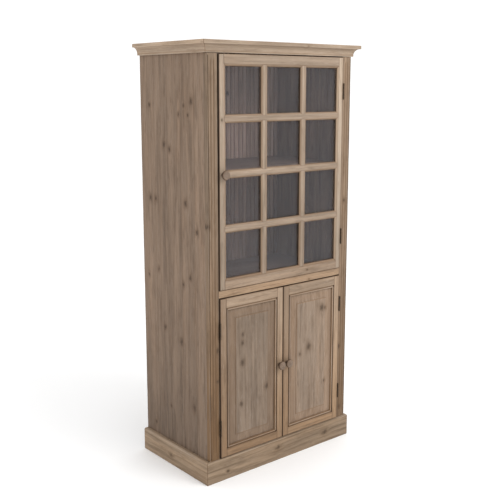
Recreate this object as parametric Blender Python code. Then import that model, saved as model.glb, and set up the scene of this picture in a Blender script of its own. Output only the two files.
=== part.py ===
"""Pantry cabinet: a glazed upper door over a pair of raised-panel lower doors.

Metres, +Z up. The front faces -Y, the origin is on the floor under the middle of the
object's box. Every sub-part is one closed solid; touching solids keep a gap of CLEAR.
Each door's pieces are parented to an empty on that door's hinge axis.
"""

from math import cos, pi, radians, sin, sqrt

import bmesh
import bpy
from mathutils import Vector

# Driving dimensions: overall
HEIGHT = 1.800
CARCASS_WIDTH = 0.786
CARCASS_DEPTH = 0.472  # from the face of the front stiles to the back
CLEAR = 0.0003  # gap between touching solids

# Boards
PANEL_THICK = 0.018
SHELF_THICK = 0.018
BACK_THICK = 0.009
STILE_WIDTH = 0.049
FACE_THICK = 0.022  # front stiles and rails

# Base and crown
PLINTH_HEIGHT = 0.098
PLINTH_THICK = 0.019
PLINTH_FRONT = 0.0055  # how far the plinth stands in front of the stiles
PLINTH_BEVEL = 0.005
CROWN_HEIGHT = 0.0475
CROWN_DEPTH = 0.035  # how far the crown moulding stands out at the sides
CROWN_FRONT = 0.028  # and in front of the stiles

# Doors
DOOR_THICK = 0.022
DOOR_PROUD = 0.0057  # the door faces stand this far in front of the stiles
DOOR_GAP = 0.003
LOWER_DOOR_Z = (0.1025, 0.782)
GLASS_DOOR_Z = (0.8185, 1.748)
DECK_TOP = 0.809
UPPER_SHELF_TOP = 1.294
LOWER_SHELF_TOP = 0.452
SHELF_SETBACK = 0.045  # shelf edge behind the front frame

# Glass door
GLASS_STILE_FLAT = 0.025
GLASS_RAIL_FLAT = 0.036
GLASS_MOULD = 0.010  # width of the moulding inside the flats
GLAZING_DEPTH = 0.0125  # door face to glass
GLASS_THICK = 0.004
PANE_COLUMNS = 3
PANE_ROWS = 4
MUNTIN_WIDTH = 0.034
MUNTIN_FLAT = 0.018
MUNTIN_SLOPE_DEPTH = 0.0056
MUNTIN_RECESS = 0.0005
BEAD_WIDTH = 0.009

# Lower doors
PANEL_STILE_FLAT = 0.031
PANEL_RAIL_TOP_FLAT = 0.040
PANEL_RAIL_BOTTOM_FLAT = 0.033
PANEL_MOULD = 0.011
PANEL_GROOVE = (0.008, 0.014)  # depth of the groove that holds the panel
PANEL_BEVEL = 0.036
PANEL_STEP = 0.0018
PANEL_FIELD = 0.0025  # depth of the raised field behind the door face
TONGUE = 0.0105  # how far the panel runs under the moulding

# Turned knobs
KNOB_LENGTH = 0.029
KNOB_RADIUS = 0.019
KNOB_SEGMENTS = 32
GLASS_KNOB_INSET = 0.0175
LOWER_KNOB_INSET = 0.020
LOWER_KNOB_Z = 0.440

# Butt hinges
HINGE_LENGTH = 0.070
KNUCKLE_RADIUS = 0.003
PIN_RADIUS = 0.0012
BORE_RADIUS = 0.0016
LEAF_THICK = 0.001
LEAF_OFFSET = 0.0002  # leaf's inner side to the axis
KNUCKLES = 5
HINGE_SEGMENTS = 16
GLASS_HINGE_INSET = 0.1445
LOWER_HINGE_INSET = 0.132

# Back boarding
BEAD_PITCH = 0.024
BEAD_GROOVE = 0.003
BEAD_GROOVE_DEPTH = 0.0022

# Places worked out from the dimensions above
OVERALL_DEPTH = CARCASS_DEPTH + DOOR_PROUD + KNOB_LENGTH
FACE_Y = -OVERALL_DEPTH / 2 + DOOR_PROUD + KNOB_LENGTH
DOOR_Y = FACE_Y - DOOR_PROUD
BACK_Y = OVERALL_DEPTH / 2
HALF = CARCASS_WIDTH / 2
INNER = HALF - PANEL_THICK
OPENING = HALF - STILE_WIDTH
CROWN_Z = HEIGHT - CROWN_HEIGHT
TOP_BOARD_Z = HEIGHT - PANEL_THICK
FLOOR_TOP = PLINTH_HEIGHT + 0.0005
AXIS_Y = DOOR_Y - KNUCKLE_RADIUS - CLEAR
AXIS_X = OPENING - DOOR_GAP / 2

# name: (base colour, roughness, metallic)
FINISHES = {
    "side_wood": ((0.231, 0.178, 0.139), 0.75, 0.0),
    "face_wood": ((0.330, 0.255, 0.190), 0.72, 0.0),
    "door_wood": ((0.350, 0.275, 0.210), 0.72, 0.0),
    "panel_wood": ((0.290, 0.225, 0.172), 0.75, 0.0),
    "inner_wood": ((0.240, 0.185, 0.140), 0.80, 0.0),
    "knob_wood": ((0.200, 0.150, 0.108), 0.60, 0.0),
    "glass": ((0.80, 0.82, 0.82), 0.05, 0.0),
    "dark_metal": ((0.050, 0.042, 0.035), 0.50, 0.9),
    "catch_plastic": ((0.250, 0.180, 0.120), 0.50, 0.0),
}


class Body:
    """What moves as one: the carcass, or a door whose pieces hang from an empty on its axis."""

    def __init__(self, name, pivot=None):
        self.pivot = Vector(pivot or (0.0, 0.0, 0.0))
        self.empty = None
        if pivot is not None:
            self.empty = bpy.data.objects.new(name + "_pivot", None)
            self.empty.location = self.pivot
            self.empty.empty_display_size = 0.05
            bpy.context.scene.collection.objects.link(self.empty)


def clear_scene():
    for obj in list(bpy.data.objects):
        bpy.data.objects.remove(obj, do_unlink=True)


def finish_material(name):
    material = bpy.data.materials.get(name)
    if material:
        return material
    color, roughness, metallic = FINISHES[name]
    material = bpy.data.materials.new(name)
    material.use_nodes = True
    shader = material.node_tree.nodes["Principled BSDF"]
    shader.inputs["Base Color"].default_value = (*color, 1.0)
    shader.inputs["Roughness"].default_value = roughness
    shader.inputs["Metallic"].default_value = metallic
    if name == "glass":
        shader.inputs["Transmission Weight"].default_value = 1.0
    return material


def add_object(name, mesh_data, body, finish, smooth=False):
    """Puts a bmesh made in world coordinates into the scene, with its origin on its body's pivot."""
    bmesh.ops.recalc_face_normals(mesh_data, faces=mesh_data.faces)
    bmesh.ops.translate(mesh_data, verts=mesh_data.verts, vec=-body.pivot)
    mesh = bpy.data.meshes.new(name)
    mesh_data.to_mesh(mesh)
    mesh_data.free()
    obj = bpy.data.objects.new(name, mesh)
    bpy.context.scene.collection.objects.link(obj)
    obj.data.materials.append(finish_material(finish))
    if body.empty:
        obj.parent = body.empty
    if smooth:
        mesh.shade_smooth()
        mesh.set_sharp_from_angle(angle=radians(35))
    return obj


def loft(rings, closed_ends=True):
    """A bmesh of quads between rings of equal length, capped at both ends."""
    shape = bmesh.new()
    loops = [[shape.verts.new(point) for point in ring] for ring in rings]
    count = len(loops[0])
    for near, far in zip(loops, loops[1:]):
        for i in range(count):
            j = (i + 1) % count
            shape.faces.new((near[i], near[j], far[j], far[i]))
    if closed_ends:
        shape.faces.new(loops[0][::-1])
        shape.faces.new(loops[-1])
    return shape


def block(low, high):
    """A rectangular block between two corners."""
    (x0, y0, z0), (x1, y1, z1) = low, high
    base = [(x0, y0), (x1, y0), (x1, y1), (x0, y1)]
    return loft([[(x, y, z0) for x, y in base], [(x, y, z1) for x, y in base]])


def board(name, low, high, body, finish):
    return add_object(name, block(low, high), body, finish)


def merge(target, tool, operation="UNION"):
    """Joins a helper object to the target, or cuts it away, and removes the helper."""
    modifier = target.modifiers.new("merge", "BOOLEAN")
    modifier.operation = operation
    modifier.object = tool
    bpy.context.view_layer.update()
    graph = bpy.context.evaluated_depsgraph_get()
    result = bpy.data.meshes.new_from_object(target.evaluated_get(graph))
    target.modifiers.remove(modifier)
    old = target.data
    target.data = result
    result.name = target.name
    bpy.data.meshes.remove(old)
    bpy.data.objects.remove(tool, do_unlink=True)


def helper(shape, body):
    return add_object("helper", shape, body, "inner_wood")


def column(center, radius, z0, z1, segments=HINGE_SEGMENTS):
    """An upright round bar."""
    x, y = center
    ring = [
        (x + radius * cos(2 * pi * i / segments), y + radius * sin(2 * pi * i / segments))
        for i in range(segments)
    ]
    return loft([[(px, py, z0) for px, py in ring], [(px, py, z1) for px, py in ring]])


# ---------------------------------------------------------------- carcass


def make_carcass(body):
    front = FACE_Y + FACE_THICK + CLEAR
    side_top = TOP_BOARD_Z - CLEAR
    for side, name in ((-1, "left"), (1, "right")):
        xs = sorted((side * INNER, side * HALF))
        board(f"side_panel_{name}", (xs[0], front, 0.0), (xs[1], BACK_Y, side_top), body, "side_wood")
    inner = INNER - CLEAR
    back_face = BACK_Y - BACK_THICK
    board("top_board", (-HALF, front, TOP_BOARD_Z), (HALF, BACK_Y, HEIGHT), body, "inner_wood")
    shelf_front = front + SHELF_SETBACK
    shelf_back = back_face - CLEAR
    levels = (
        ("bottom_board", front, BACK_Y, FLOOR_TOP),
        ("middle_deck", front, BACK_Y, DECK_TOP),
        ("upper_shelf", shelf_front, shelf_back, UPPER_SHELF_TOP),
        ("lower_shelf", shelf_front, shelf_back, LOWER_SHELF_TOP),
    )
    for name, near, far, top in levels:
        board(name, (-inner, near, top - SHELF_THICK), (inner, far, top), body, "inner_wood")
    beaded_board("back_panel_upper", DECK_TOP + CLEAR, TOP_BOARD_Z - CLEAR, body)
    beaded_board("back_panel_lower", FLOOR_TOP + CLEAR, DECK_TOP - SHELF_THICK - CLEAR, body)


def beaded_board(name, z0, z1, body):
    """Back boarding with an upright groove at every board's edge."""
    inner = INNER - CLEAR
    face = BACK_Y - BACK_THICK
    outline = [(inner, BACK_Y), (-inner, BACK_Y), (-inner, face)]
    count = round(2 * inner / BEAD_PITCH)
    pitch = 2 * inner / count
    for i in range(1, count):
        x = -inner + i * pitch
        outline += [
            (x - BEAD_GROOVE / 2, face),
            (x, face + BEAD_GROOVE_DEPTH),
            (x + BEAD_GROOVE / 2, face),
        ]
    outline.append((inner, face))
    shape = loft([[(x, y, z0) for x, y in outline], [(x, y, z1) for x, y in outline]])
    add_object(name, shape, body, "inner_wood")


def make_front_frame(body):
    """Reeded stiles and the rails between them."""
    for side, name in ((-1, "left"), (1, "right")):
        xs = sorted((side * OPENING, side * HALF))
        stile = board(
            f"front_stile_{name}",
            (xs[0], FACE_Y, PLINTH_HEIGHT + CLEAR),
            (xs[1], FACE_Y + FACE_THICK, CROWN_Z - CLEAR),
            body,
            "face_wood",
        )
        cut_reeds(stile, side, body)
    width = OPENING - CLEAR
    rail_z = (LOWER_DOOR_Z[1] + DOOR_GAP, GLASS_DOOR_Z[0] - DOOR_GAP)
    rail_back = FACE_Y + FACE_THICK
    board("middle_rail", (-width, FACE_Y, rail_z[0]), (width, rail_back, rail_z[1]), body, "face_wood")
    crown_back = FACE_Y - CROWN_FRONT + CROWN_DEPTH
    board(
        "top_rail",
        (-HALF, crown_back + CLEAR, CROWN_Z),
        (HALF, FACE_Y + FACE_THICK, HEIGHT),
        body,
        "inner_wood",
    )


def cut_reeds(stile, side, body):
    """Two stopped flutes that leave three reeds, and a stopped quirk on the outer corner."""
    flute_radius = 0.0045
    flute_depth = 0.0030
    stop = 0.026
    z0 = PLINTH_HEIGHT + stop
    z1 = CROWN_Z - stop / 2
    for share in (0.36, 0.66):
        x = side * (HALF - share * STILE_WIDTH)
        y = FACE_Y - flute_radius + flute_depth
        merge(stile, helper(column((x, y), flute_radius, z0, z1, 12), body), "DIFFERENCE")
    quirk = 0.0022
    x = side * (HALF - 0.0045)
    low = (x - quirk / 2, FACE_Y - quirk, PLINTH_HEIGHT + stop / 3)
    high = (x + quirk / 2, FACE_Y + quirk, CROWN_Z - stop / 3)
    merge(stile, helper(block(low, high), body), "DIFFERENCE")


def mitred_strip(profile, axis, line, start, end, low_mitre, high_mitre):
    """A bar with one section, whose ends are cut at 45 degrees where asked.

    profile holds (out, z) points, out growing away from the carcass. axis is "x" for the
    front bar and "left" or "right" for the side bars; line is where out is zero.
    """

    def place(out, z, along):
        if axis == "x":
            return (along, line - out, z)
        return (line + (out if axis == "right" else -out), along, z)

    near = [place(out, z, start - out * low_mitre) for out, z in profile]
    far = [place(out, z, end + out * high_mitre) for out, z in profile]
    return loft([near, far])


def surround(name, profile, front_y, body, finish):
    """Front, left and right bars of a moulding, mitred at the front corners."""
    mitre_gap = CLEAR / 2 * sqrt(2)
    side_x = HALF + CLEAR
    start = -side_x + mitre_gap
    front = mitred_strip(profile, "x", front_y, start, -start, 1, 1)
    add_object(f"{name}_front", front, body, finish)
    for side, word in ((-1, "left"), (1, "right")):
        bar = mitred_strip(profile, word, side * side_x, front_y + mitre_gap, BACK_Y, 1, 0)
        add_object(f"{name}_{word}", bar, body, finish)


def make_crown(body):
    """Square top edge, cove below it and a small fillet where it meets the carcass."""
    foot = 0.011
    foot_height = 0.006
    edge_height = 0.0155
    lip = CROWN_DEPTH - 0.004
    cove_top = HEIGHT - edge_height
    cove_foot = CROWN_Z + foot_height
    steps = 6
    profile = [(0.0, CROWN_Z), (foot, CROWN_Z), (foot, cove_foot)]
    for i in range(1, steps + 1):
        angle = i / steps * pi / 2
        out = lip - (lip - foot) * cos(angle)
        profile.append((out, cove_foot + (cove_top - cove_foot) * sin(angle)))
    profile += [(CROWN_DEPTH, cove_top), (CROWN_DEPTH, HEIGHT), (0.0, HEIGHT)]
    surround("crown", profile, FACE_Y - CROWN_FRONT + CROWN_DEPTH, body, "face_wood")


def make_plinth(body):
    profile = [
        (0.0, 0.0),
        (PLINTH_THICK, 0.0),
        (PLINTH_THICK, PLINTH_HEIGHT - PLINTH_BEVEL),
        (PLINTH_THICK - PLINTH_BEVEL, PLINTH_HEIGHT),
        (0.0, PLINTH_HEIGHT),
    ]
    surround("plinth", profile, FACE_Y - PLINTH_FRONT + PLINTH_THICK, body, "face_wood")


def make_catches(body):
    """Magnetic catches: one on the deck for the glass door, a double one under the deck."""
    front = FACE_Y + FACE_THICK + 2 * CLEAR
    depth = 0.018
    height = 0.013
    deck_under = DECK_TOP - SHELF_THICK
    low = (-OPENING + 0.040, front, DECK_TOP + CLEAR)
    high = (low[0] + 0.045, front + depth, low[2] + height)
    board("glass_door_catch", low, high, body, "catch_plastic")
    low = (-0.040, front, deck_under - CLEAR - height)
    high = (0.040, front + depth, deck_under - CLEAR)
    board("lower_doors_catch", low, high, body, "catch_plastic")


# ---------------------------------------------------------------- doors


class DoorFrame:
    """Maps a door's own measures to the world: across, up from its lower left, and into it."""

    def __init__(self, prefix, body, x, z, stile, rail_bottom, rail_top, mould):
        self.prefix = prefix
        self.body = body
        self.x = x
        self.z = z
        self.stile = stile
        self.rail_bottom = rail_bottom
        self.rail_top = rail_top
        self.mould = mould

    def name(self, word):
        return f"{self.prefix}_{word}"

    def flats(self):
        """Inner edges of the flat parts: x low, x high, z low, z high."""
        return (
            self.x[0] + self.stile,
            self.x[1] - self.stile,
            self.z[0] + self.rail_bottom,
            self.z[1] - self.rail_top,
        )

    def box(self, x, depth, z):
        return block((x[0], DOOR_Y + depth[0], z[0]), (x[1], DOOR_Y + depth[1], z[1]))

    def moulding(self, profile, side):
        """A strip on the inner edge of one member; profile is (inward, depth), mitred."""
        x0, x1, z0, z1 = self.flats()
        points = [(u, DOOR_Y + d, max(u, 0.0) + CLEAR) for u, d in profile]
        if side in ("left", "right"):
            edge, sign = (x0, 1) if side == "left" else (x1, -1)
            near = [(edge + sign * u, y, z0 + mitre) for u, y, mitre in points]
            far = [(edge + sign * u, y, z1 - mitre) for u, y, mitre in points]
        else:
            edge, sign = (z0, 1) if side == "bottom" else (z1, -1)
            near = [(x0 + mitre, y, edge + sign * u) for u, y, mitre in points]
            far = [(x1 - mitre, y, edge + sign * u) for u, y, mitre in points]
        return loft([near, far])

    def members(self, profiles, finish):
        """Stiles at full height, rails between them, each with its strips joined on."""
        x0, x1, z0, z1 = self.flats()
        full = (0.0, DOOR_THICK)
        rail_x = (x0 + CLEAR, x1 - CLEAR)
        boxes = {
            "left": ("stile_left", self.box((self.x[0], x0), full, self.z)),
            "right": ("stile_right", self.box((x1, self.x[1]), full, self.z)),
            "bottom": ("rail_bottom", self.box(rail_x, full, (self.z[0], z0))),
            "top": ("rail_top", self.box(rail_x, full, (z1, self.z[1]))),
        }
        for side, (word, shape) in boxes.items():
            member = add_object(self.name(word), shape, self.body, finish)
            for profile in profiles:
                merge(member, helper(self.moulding(profile, side), self.body))


def make_glass_door(body):
    x = (-OPENING + DOOR_GAP, OPENING - DOOR_GAP)
    frame = DoorFrame(
        "glass_door", body, x, GLASS_DOOR_Z, GLASS_STILE_FLAT, GLASS_RAIL_FLAT, GLASS_RAIL_FLAT, GLASS_MOULD
    )
    overlap = 0.002
    back = GLAZING_DEPTH - CLEAR
    slope = [
        (-overlap, 0.001),
        (0.0008, 0.001),
        (GLASS_MOULD - 0.001, MUNTIN_SLOPE_DEPTH),
        (GLASS_MOULD, MUNTIN_SLOPE_DEPTH),
        (GLASS_MOULD, back),
        (-overlap, back),
    ]
    frame.members([slope], "door_wood")
    make_muntins(frame)
    x0, x1, z0, z1 = frame.flats()
    edge = 0.0006
    glass_depth = (GLAZING_DEPTH, GLAZING_DEPTH + GLASS_THICK)
    glass = frame.box((x0 + edge, x1 - edge), glass_depth, (z0 + edge, z1 - edge))
    add_object("glass_door_glass", glass, body, "glass")
    bead_depth = (glass_depth[1] + CLEAR, DOOR_THICK - CLEAR)
    outer = (x0 + CLEAR, x1 - CLEAR, z0 + CLEAR, z1 - CLEAR)
    upright_z = (outer[2], outer[3])
    across_x = (outer[0] + BEAD_WIDTH + CLEAR, outer[1] - BEAD_WIDTH - CLEAR)
    beads = {
        "left": ((outer[0], outer[0] + BEAD_WIDTH), upright_z),
        "right": ((outer[1] - BEAD_WIDTH, outer[1]), upright_z),
        "bottom": (across_x, (outer[2], outer[2] + BEAD_WIDTH)),
        "top": (across_x, (outer[3] - BEAD_WIDTH, outer[3])),
    }
    for word, (bead_x, bead_z) in beads.items():
        add_object(f"glazing_bead_{word}", frame.box(bead_x, bead_depth, bead_z), body, "door_wood")
    knob_z = sum(GLASS_DOOR_Z) / 2
    make_knob("glass_door_knob", (x[0] + GLASS_KNOB_INSET, knob_z), body)


def bar_positions(low, high, count):
    """Centres of the bars that split a span into equal panes."""
    pane = (high - low - (count - 1) * MUNTIN_WIDTH) / count
    return [low + (i + 1) * pane + (i + 0.5) * MUNTIN_WIDTH for i in range(count - 1)]


def muntin_profile():
    half = MUNTIN_WIDTH / 2
    flat = MUNTIN_FLAT / 2
    back = GLAZING_DEPTH - CLEAR
    edge = half - 0.001
    right = [(flat, MUNTIN_RECESS), (edge, MUNTIN_SLOPE_DEPTH), (half, MUNTIN_SLOPE_DEPTH), (half, back)]
    return right + [(-u, d) for u, d in reversed(right)]


def make_muntins(frame):
    """Glazing bars halved into each other: the level bars lie in front where they cross."""
    x0, x1, z0, z1 = frame.flats()
    low_x, high_x = x0 + GLASS_MOULD + CLEAR, x1 - GLASS_MOULD - CLEAR
    low_z, high_z = z0 + GLASS_MOULD + CLEAR, z1 - GLASS_MOULD - CLEAR
    across = bar_positions(low_x, high_x, PANE_COLUMNS)
    up = bar_positions(low_z, high_z, PANE_ROWS)
    half = MUNTIN_WIDTH / 2
    lap = (GLAZING_DEPTH + MUNTIN_RECESS) / 2
    slope = (half - MUNTIN_FLAT / 2) / (MUNTIN_SLOPE_DEPTH - MUNTIN_RECESS)
    notch = MUNTIN_FLAT / 2 + (lap - MUNTIN_RECESS) * slope + 2 * CLEAR
    past = 0.002
    for i, x in enumerate(across, 1):
        near = [(x + u, DOOR_Y + d, low_z) for u, d in muntin_profile()]
        far = [(x + u, DOOR_Y + d, high_z) for u, d in muntin_profile()]
        bar = add_object(f"muntin_upright_{i}", loft([near, far]), frame.body, "door_wood")
        for z in up:
            span = (x - half - past, x + half + past)
            cut = frame.box(span, (-past, lap + CLEAR / 2), (z - notch, z + notch))
            merge(bar, helper(cut, frame.body), "DIFFERENCE")
    for i, z in enumerate(up, 1):
        near = [(low_x, DOOR_Y + d, z + u) for u, d in muntin_profile()]
        far = [(high_x, DOOR_Y + d, z + u) for u, d in muntin_profile()]
        bar = add_object(f"muntin_level_{i}", loft([near, far]), frame.body, "door_wood")
        for x in across:
            reach = half + CLEAR
            depth = (lap - CLEAR / 2, GLAZING_DEPTH + past)
            cut = frame.box((x - reach, x + reach), depth, (z - MUNTIN_WIDTH, z + MUNTIN_WIDTH))
            merge(bar, helper(cut, frame.body), "DIFFERENCE")


def make_panel_door(prefix, body, x, knob_x):
    flats = (PANEL_STILE_FLAT, PANEL_RAIL_BOTTOM_FLAT, PANEL_RAIL_TOP_FLAT)
    frame = DoorFrame(prefix, body, x, LOWER_DOOR_Z, *flats, PANEL_MOULD)
    overlap = 0.002
    groove_front, groove_back = PANEL_GROOVE
    quirk = 0.004
    bead = [
        (-overlap, 0.004),
        (quirk, 0.004),
        (quirk + 0.0006, 0.0016),
        (quirk + 0.0022, 0.0006),
        (quirk + 0.0042, 0.0006),
        (PANEL_MOULD - 0.0008, 0.0020),
        (PANEL_MOULD, 0.0045),
        (PANEL_MOULD, groove_front),
        (-overlap, groove_front),
    ]
    lip_back = DOOR_THICK - 0.0005
    lip_width = PANEL_MOULD - 0.001
    lip = [(-overlap, groove_back), (lip_width, groove_back), (lip_width, lip_back), (-overlap, lip_back)]
    frame.members([bead, lip], "door_wood")
    make_raised_panel(frame)
    make_knob(f"{prefix}_knob", (knob_x, LOWER_KNOB_Z), body)


def make_raised_panel(frame):
    """A panel whose tongue runs in the frame's groove, with a sunk bevel round a raised field."""
    x0, x1, z0, z1 = frame.flats()
    front, back = PANEL_GROOVE[0] + CLEAR, PANEL_GROOVE[1] - CLEAR
    edge = PANEL_MOULD - TONGUE
    bevel_start = PANEL_MOULD + 0.0015
    bevel_end = bevel_start + PANEL_BEVEL
    steps = 4
    rings = [(edge, back), (edge, front), (bevel_start, front)]
    rise = front - PANEL_FIELD - PANEL_STEP
    for i in range(1, steps + 1):
        share = i / steps
        rings.append((bevel_start + PANEL_BEVEL * share, front - rise * sqrt(share)))
    rings.append((bevel_end + 0.0004, PANEL_FIELD))
    loops = []
    for inset, depth in rings:
        left, right, low, high = x0 + inset, x1 - inset, z0 + inset, z1 - inset
        y = DOOR_Y + depth
        loops.append([(left, y, low), (right, y, low), (right, y, high), (left, y, high)])
    add_object(frame.name("panel"), loft(loops), frame.body, "panel_wood")


def make_knob(name, center, body):
    """A turned knob: a foot, a waist, and a domed head with a small raised button."""
    x, z = center
    outline = [
        (0.0085, 0.0),
        (0.0085, 0.0012),
        (0.0072, 0.0024),
        (0.0064, 0.0055),
        (0.0066, 0.0088),
        (0.0085, 0.0115),
        (0.0132, 0.0132),
        (0.0172, 0.0158),
        (KNOB_RADIUS, 0.0192),
        (0.0187, 0.0222),
        (0.0166, 0.0249),
        (0.0122, 0.0266),
        (0.0070, 0.0276),
        (0.0034, 0.0280),
        (0.0030, 0.0286),
        (0.0014, KNOB_LENGTH),
    ]
    rings = []
    for radius, out in outline:
        y = DOOR_Y - max(out, CLEAR)
        turn = [2 * pi * i / KNOB_SEGMENTS for i in range(KNOB_SEGMENTS)]
        rings.append([(x + radius * cos(a), y, z + radius * sin(a)) for a in turn])
    add_object(name, loft(rings), body, "knob_wood", smooth=True)


# ---------------------------------------------------------------- hinges


def make_hinge(prefix, side, z_mid, carcass, door):
    """A butt hinge: side is +1 where the door hangs on the right, -1 on the left."""
    axis = (side * AXIS_X, AXIS_Y)
    z_low = z_mid - HINGE_LENGTH / 2
    pitch = HINGE_LENGTH / KNUCKLES
    spans = [(z_low + i * pitch + CLEAR, z_low + (i + 1) * pitch - CLEAR) for i in range(KNUCKLES)]
    full = (z_low + CLEAR, z_low + HINGE_LENGTH - CLEAR)

    def leaf(direction, reach, low, high, z):
        inner = axis[0] + direction * LEAF_OFFSET
        outer = inner + direction * LEAF_THICK
        xs = sorted((inner, outer))
        far = high if high else reach
        return block((xs[0], axis[1] + low, z[0]), (xs[1], axis[1] + far, z[1]))

    near = KNUCKLE_RADIUS + 2 * CLEAR
    fixed = add_object(f"{prefix}_fixed_leaf", leaf(side, 0.024, near, None, full), carcass, "dark_metal")
    moving = add_object(f"{prefix}_door_leaf", leaf(-side, 0.020, near, None, full), door, "dark_metal")
    for i, span in enumerate(spans):
        owner, body, direction = (fixed, carcass, side) if i % 2 == 0 else (moving, door, -side)
        merge(owner, helper(leaf(direction, 0.0, PIN_RADIUS + 0.001, near + 0.001, span), body))
        merge(owner, helper(column(axis, KNUCKLE_RADIUS, *span), body))
    merge(moving, helper(column(axis, BORE_RADIUS, full[0] - 0.01, full[1] + 0.01), door), "DIFFERENCE")
    merge(fixed, helper(column(axis, PIN_RADIUS, full[0] + 0.001, full[1] - 0.001), carcass))
    for obj in (fixed, moving):
        obj.data.shade_smooth()
        obj.data.set_sharp_from_angle(angle=radians(35))


def make_hinges(prefix, side, z, inset, carcass, door):
    for word, z_mid in (("lower", z[0] + inset), ("upper", z[1] - inset)):
        make_hinge(f"{prefix}_{word}_hinge", side, z_mid, carcass, door)


def main():
    clear_scene()
    carcass = Body("carcass")
    glass_door = Body("glass_door", (AXIS_X, AXIS_Y, sum(GLASS_DOOR_Z) / 2))
    left_door = Body("left_door", (-AXIS_X, AXIS_Y, sum(LOWER_DOOR_Z) / 2))
    right_door = Body("right_door", (AXIS_X, AXIS_Y, sum(LOWER_DOOR_Z) / 2))
    make_carcass(carcass)
    make_front_frame(carcass)
    make_crown(carcass)
    make_plinth(carcass)
    make_catches(carcass)
    make_glass_door(glass_door)
    outer = OPENING - DOOR_GAP
    meeting = DOOR_GAP / 2
    make_panel_door("left_door", left_door, (-outer, -meeting), -meeting - LOWER_KNOB_INSET)
    make_panel_door("right_door", right_door, (meeting, outer), meeting + LOWER_KNOB_INSET)
    make_hinges("glass_door", 1, GLASS_DOOR_Z, GLASS_HINGE_INSET, carcass, glass_door)
    make_hinges("left_door", -1, LOWER_DOOR_Z, LOWER_HINGE_INSET, carcass, left_door)
    make_hinges("right_door", 1, LOWER_DOOR_Z, LOWER_HINGE_INSET, carcass, right_door)


main()
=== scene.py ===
"""Looks of the pantry cabinet.

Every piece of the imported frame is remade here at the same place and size, with eased and worn
edges, smooth mouldings and old pine, dark iron and glass for its surface. Metres, +Z up, the
front faces -Y.
"""

import math
import random

import bmesh
import bpy
import numpy as np
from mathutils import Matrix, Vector


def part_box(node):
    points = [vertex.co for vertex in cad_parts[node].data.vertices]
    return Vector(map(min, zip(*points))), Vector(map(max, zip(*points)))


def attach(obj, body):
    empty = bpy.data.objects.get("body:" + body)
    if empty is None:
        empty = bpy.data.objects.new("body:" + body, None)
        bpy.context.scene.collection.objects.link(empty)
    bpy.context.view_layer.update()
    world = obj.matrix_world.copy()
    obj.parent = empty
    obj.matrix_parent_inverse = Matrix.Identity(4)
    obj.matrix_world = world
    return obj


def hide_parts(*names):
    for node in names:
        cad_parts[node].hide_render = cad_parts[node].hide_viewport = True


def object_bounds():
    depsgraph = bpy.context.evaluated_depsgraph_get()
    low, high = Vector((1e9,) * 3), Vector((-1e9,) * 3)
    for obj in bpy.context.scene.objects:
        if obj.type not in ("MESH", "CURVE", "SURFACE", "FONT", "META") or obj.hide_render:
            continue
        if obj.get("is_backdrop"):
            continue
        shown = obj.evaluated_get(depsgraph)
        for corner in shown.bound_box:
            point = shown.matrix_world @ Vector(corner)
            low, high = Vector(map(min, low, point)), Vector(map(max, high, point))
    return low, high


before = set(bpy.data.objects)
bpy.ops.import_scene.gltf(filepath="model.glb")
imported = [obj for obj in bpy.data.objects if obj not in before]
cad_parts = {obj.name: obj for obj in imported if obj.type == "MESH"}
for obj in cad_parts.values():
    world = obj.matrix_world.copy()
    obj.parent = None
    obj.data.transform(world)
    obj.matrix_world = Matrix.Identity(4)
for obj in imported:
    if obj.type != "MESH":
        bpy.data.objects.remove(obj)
CAD_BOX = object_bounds()

# Mesh fineness
RING_STEP = 0.03  # between the rings of a long bar
SUPPORT = 0.0022  # from a rounded edge to the point that keeps the flat beside it flat
SHARP = math.radians(32)

# Edges
GAP = 0.0003  # between touching pieces, as in the frame
EASE = 0.0011  # rounding of a sawn edge
CHIP = 0.0007  # deepest wear of an edge
JOINT_GRIME = 0.0016  # how far dirt has crept out of a joint

# Front frame and mouldings
CROWN_OUT = 0.035
PLINTH_OUT = 0.019
PLINTH_BEVEL = 0.005
DOOR_THICK = 0.022
MOULD_TOP = 0.0012  # depth of the fine step beside a flat
GLASS_MOULD = 0.010
GLASS_AT = 0.0122  # back of the glazing bars, behind the door face
BAR_HALF = 0.017
BAR_FLAT = 0.009  # half the width of a glazing bar's flat
BAR_EDGE = 0.0050  # depth of a glazing bar's outer edge
PANEL_MOULD = 0.011
PANEL_QUIRK = 0.0044
PLANK = 0.094  # boards glued into a side panel

DOOR_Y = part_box("left_door_stile_left")[0].y


# ---------------------------------------------------------------- materials


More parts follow.
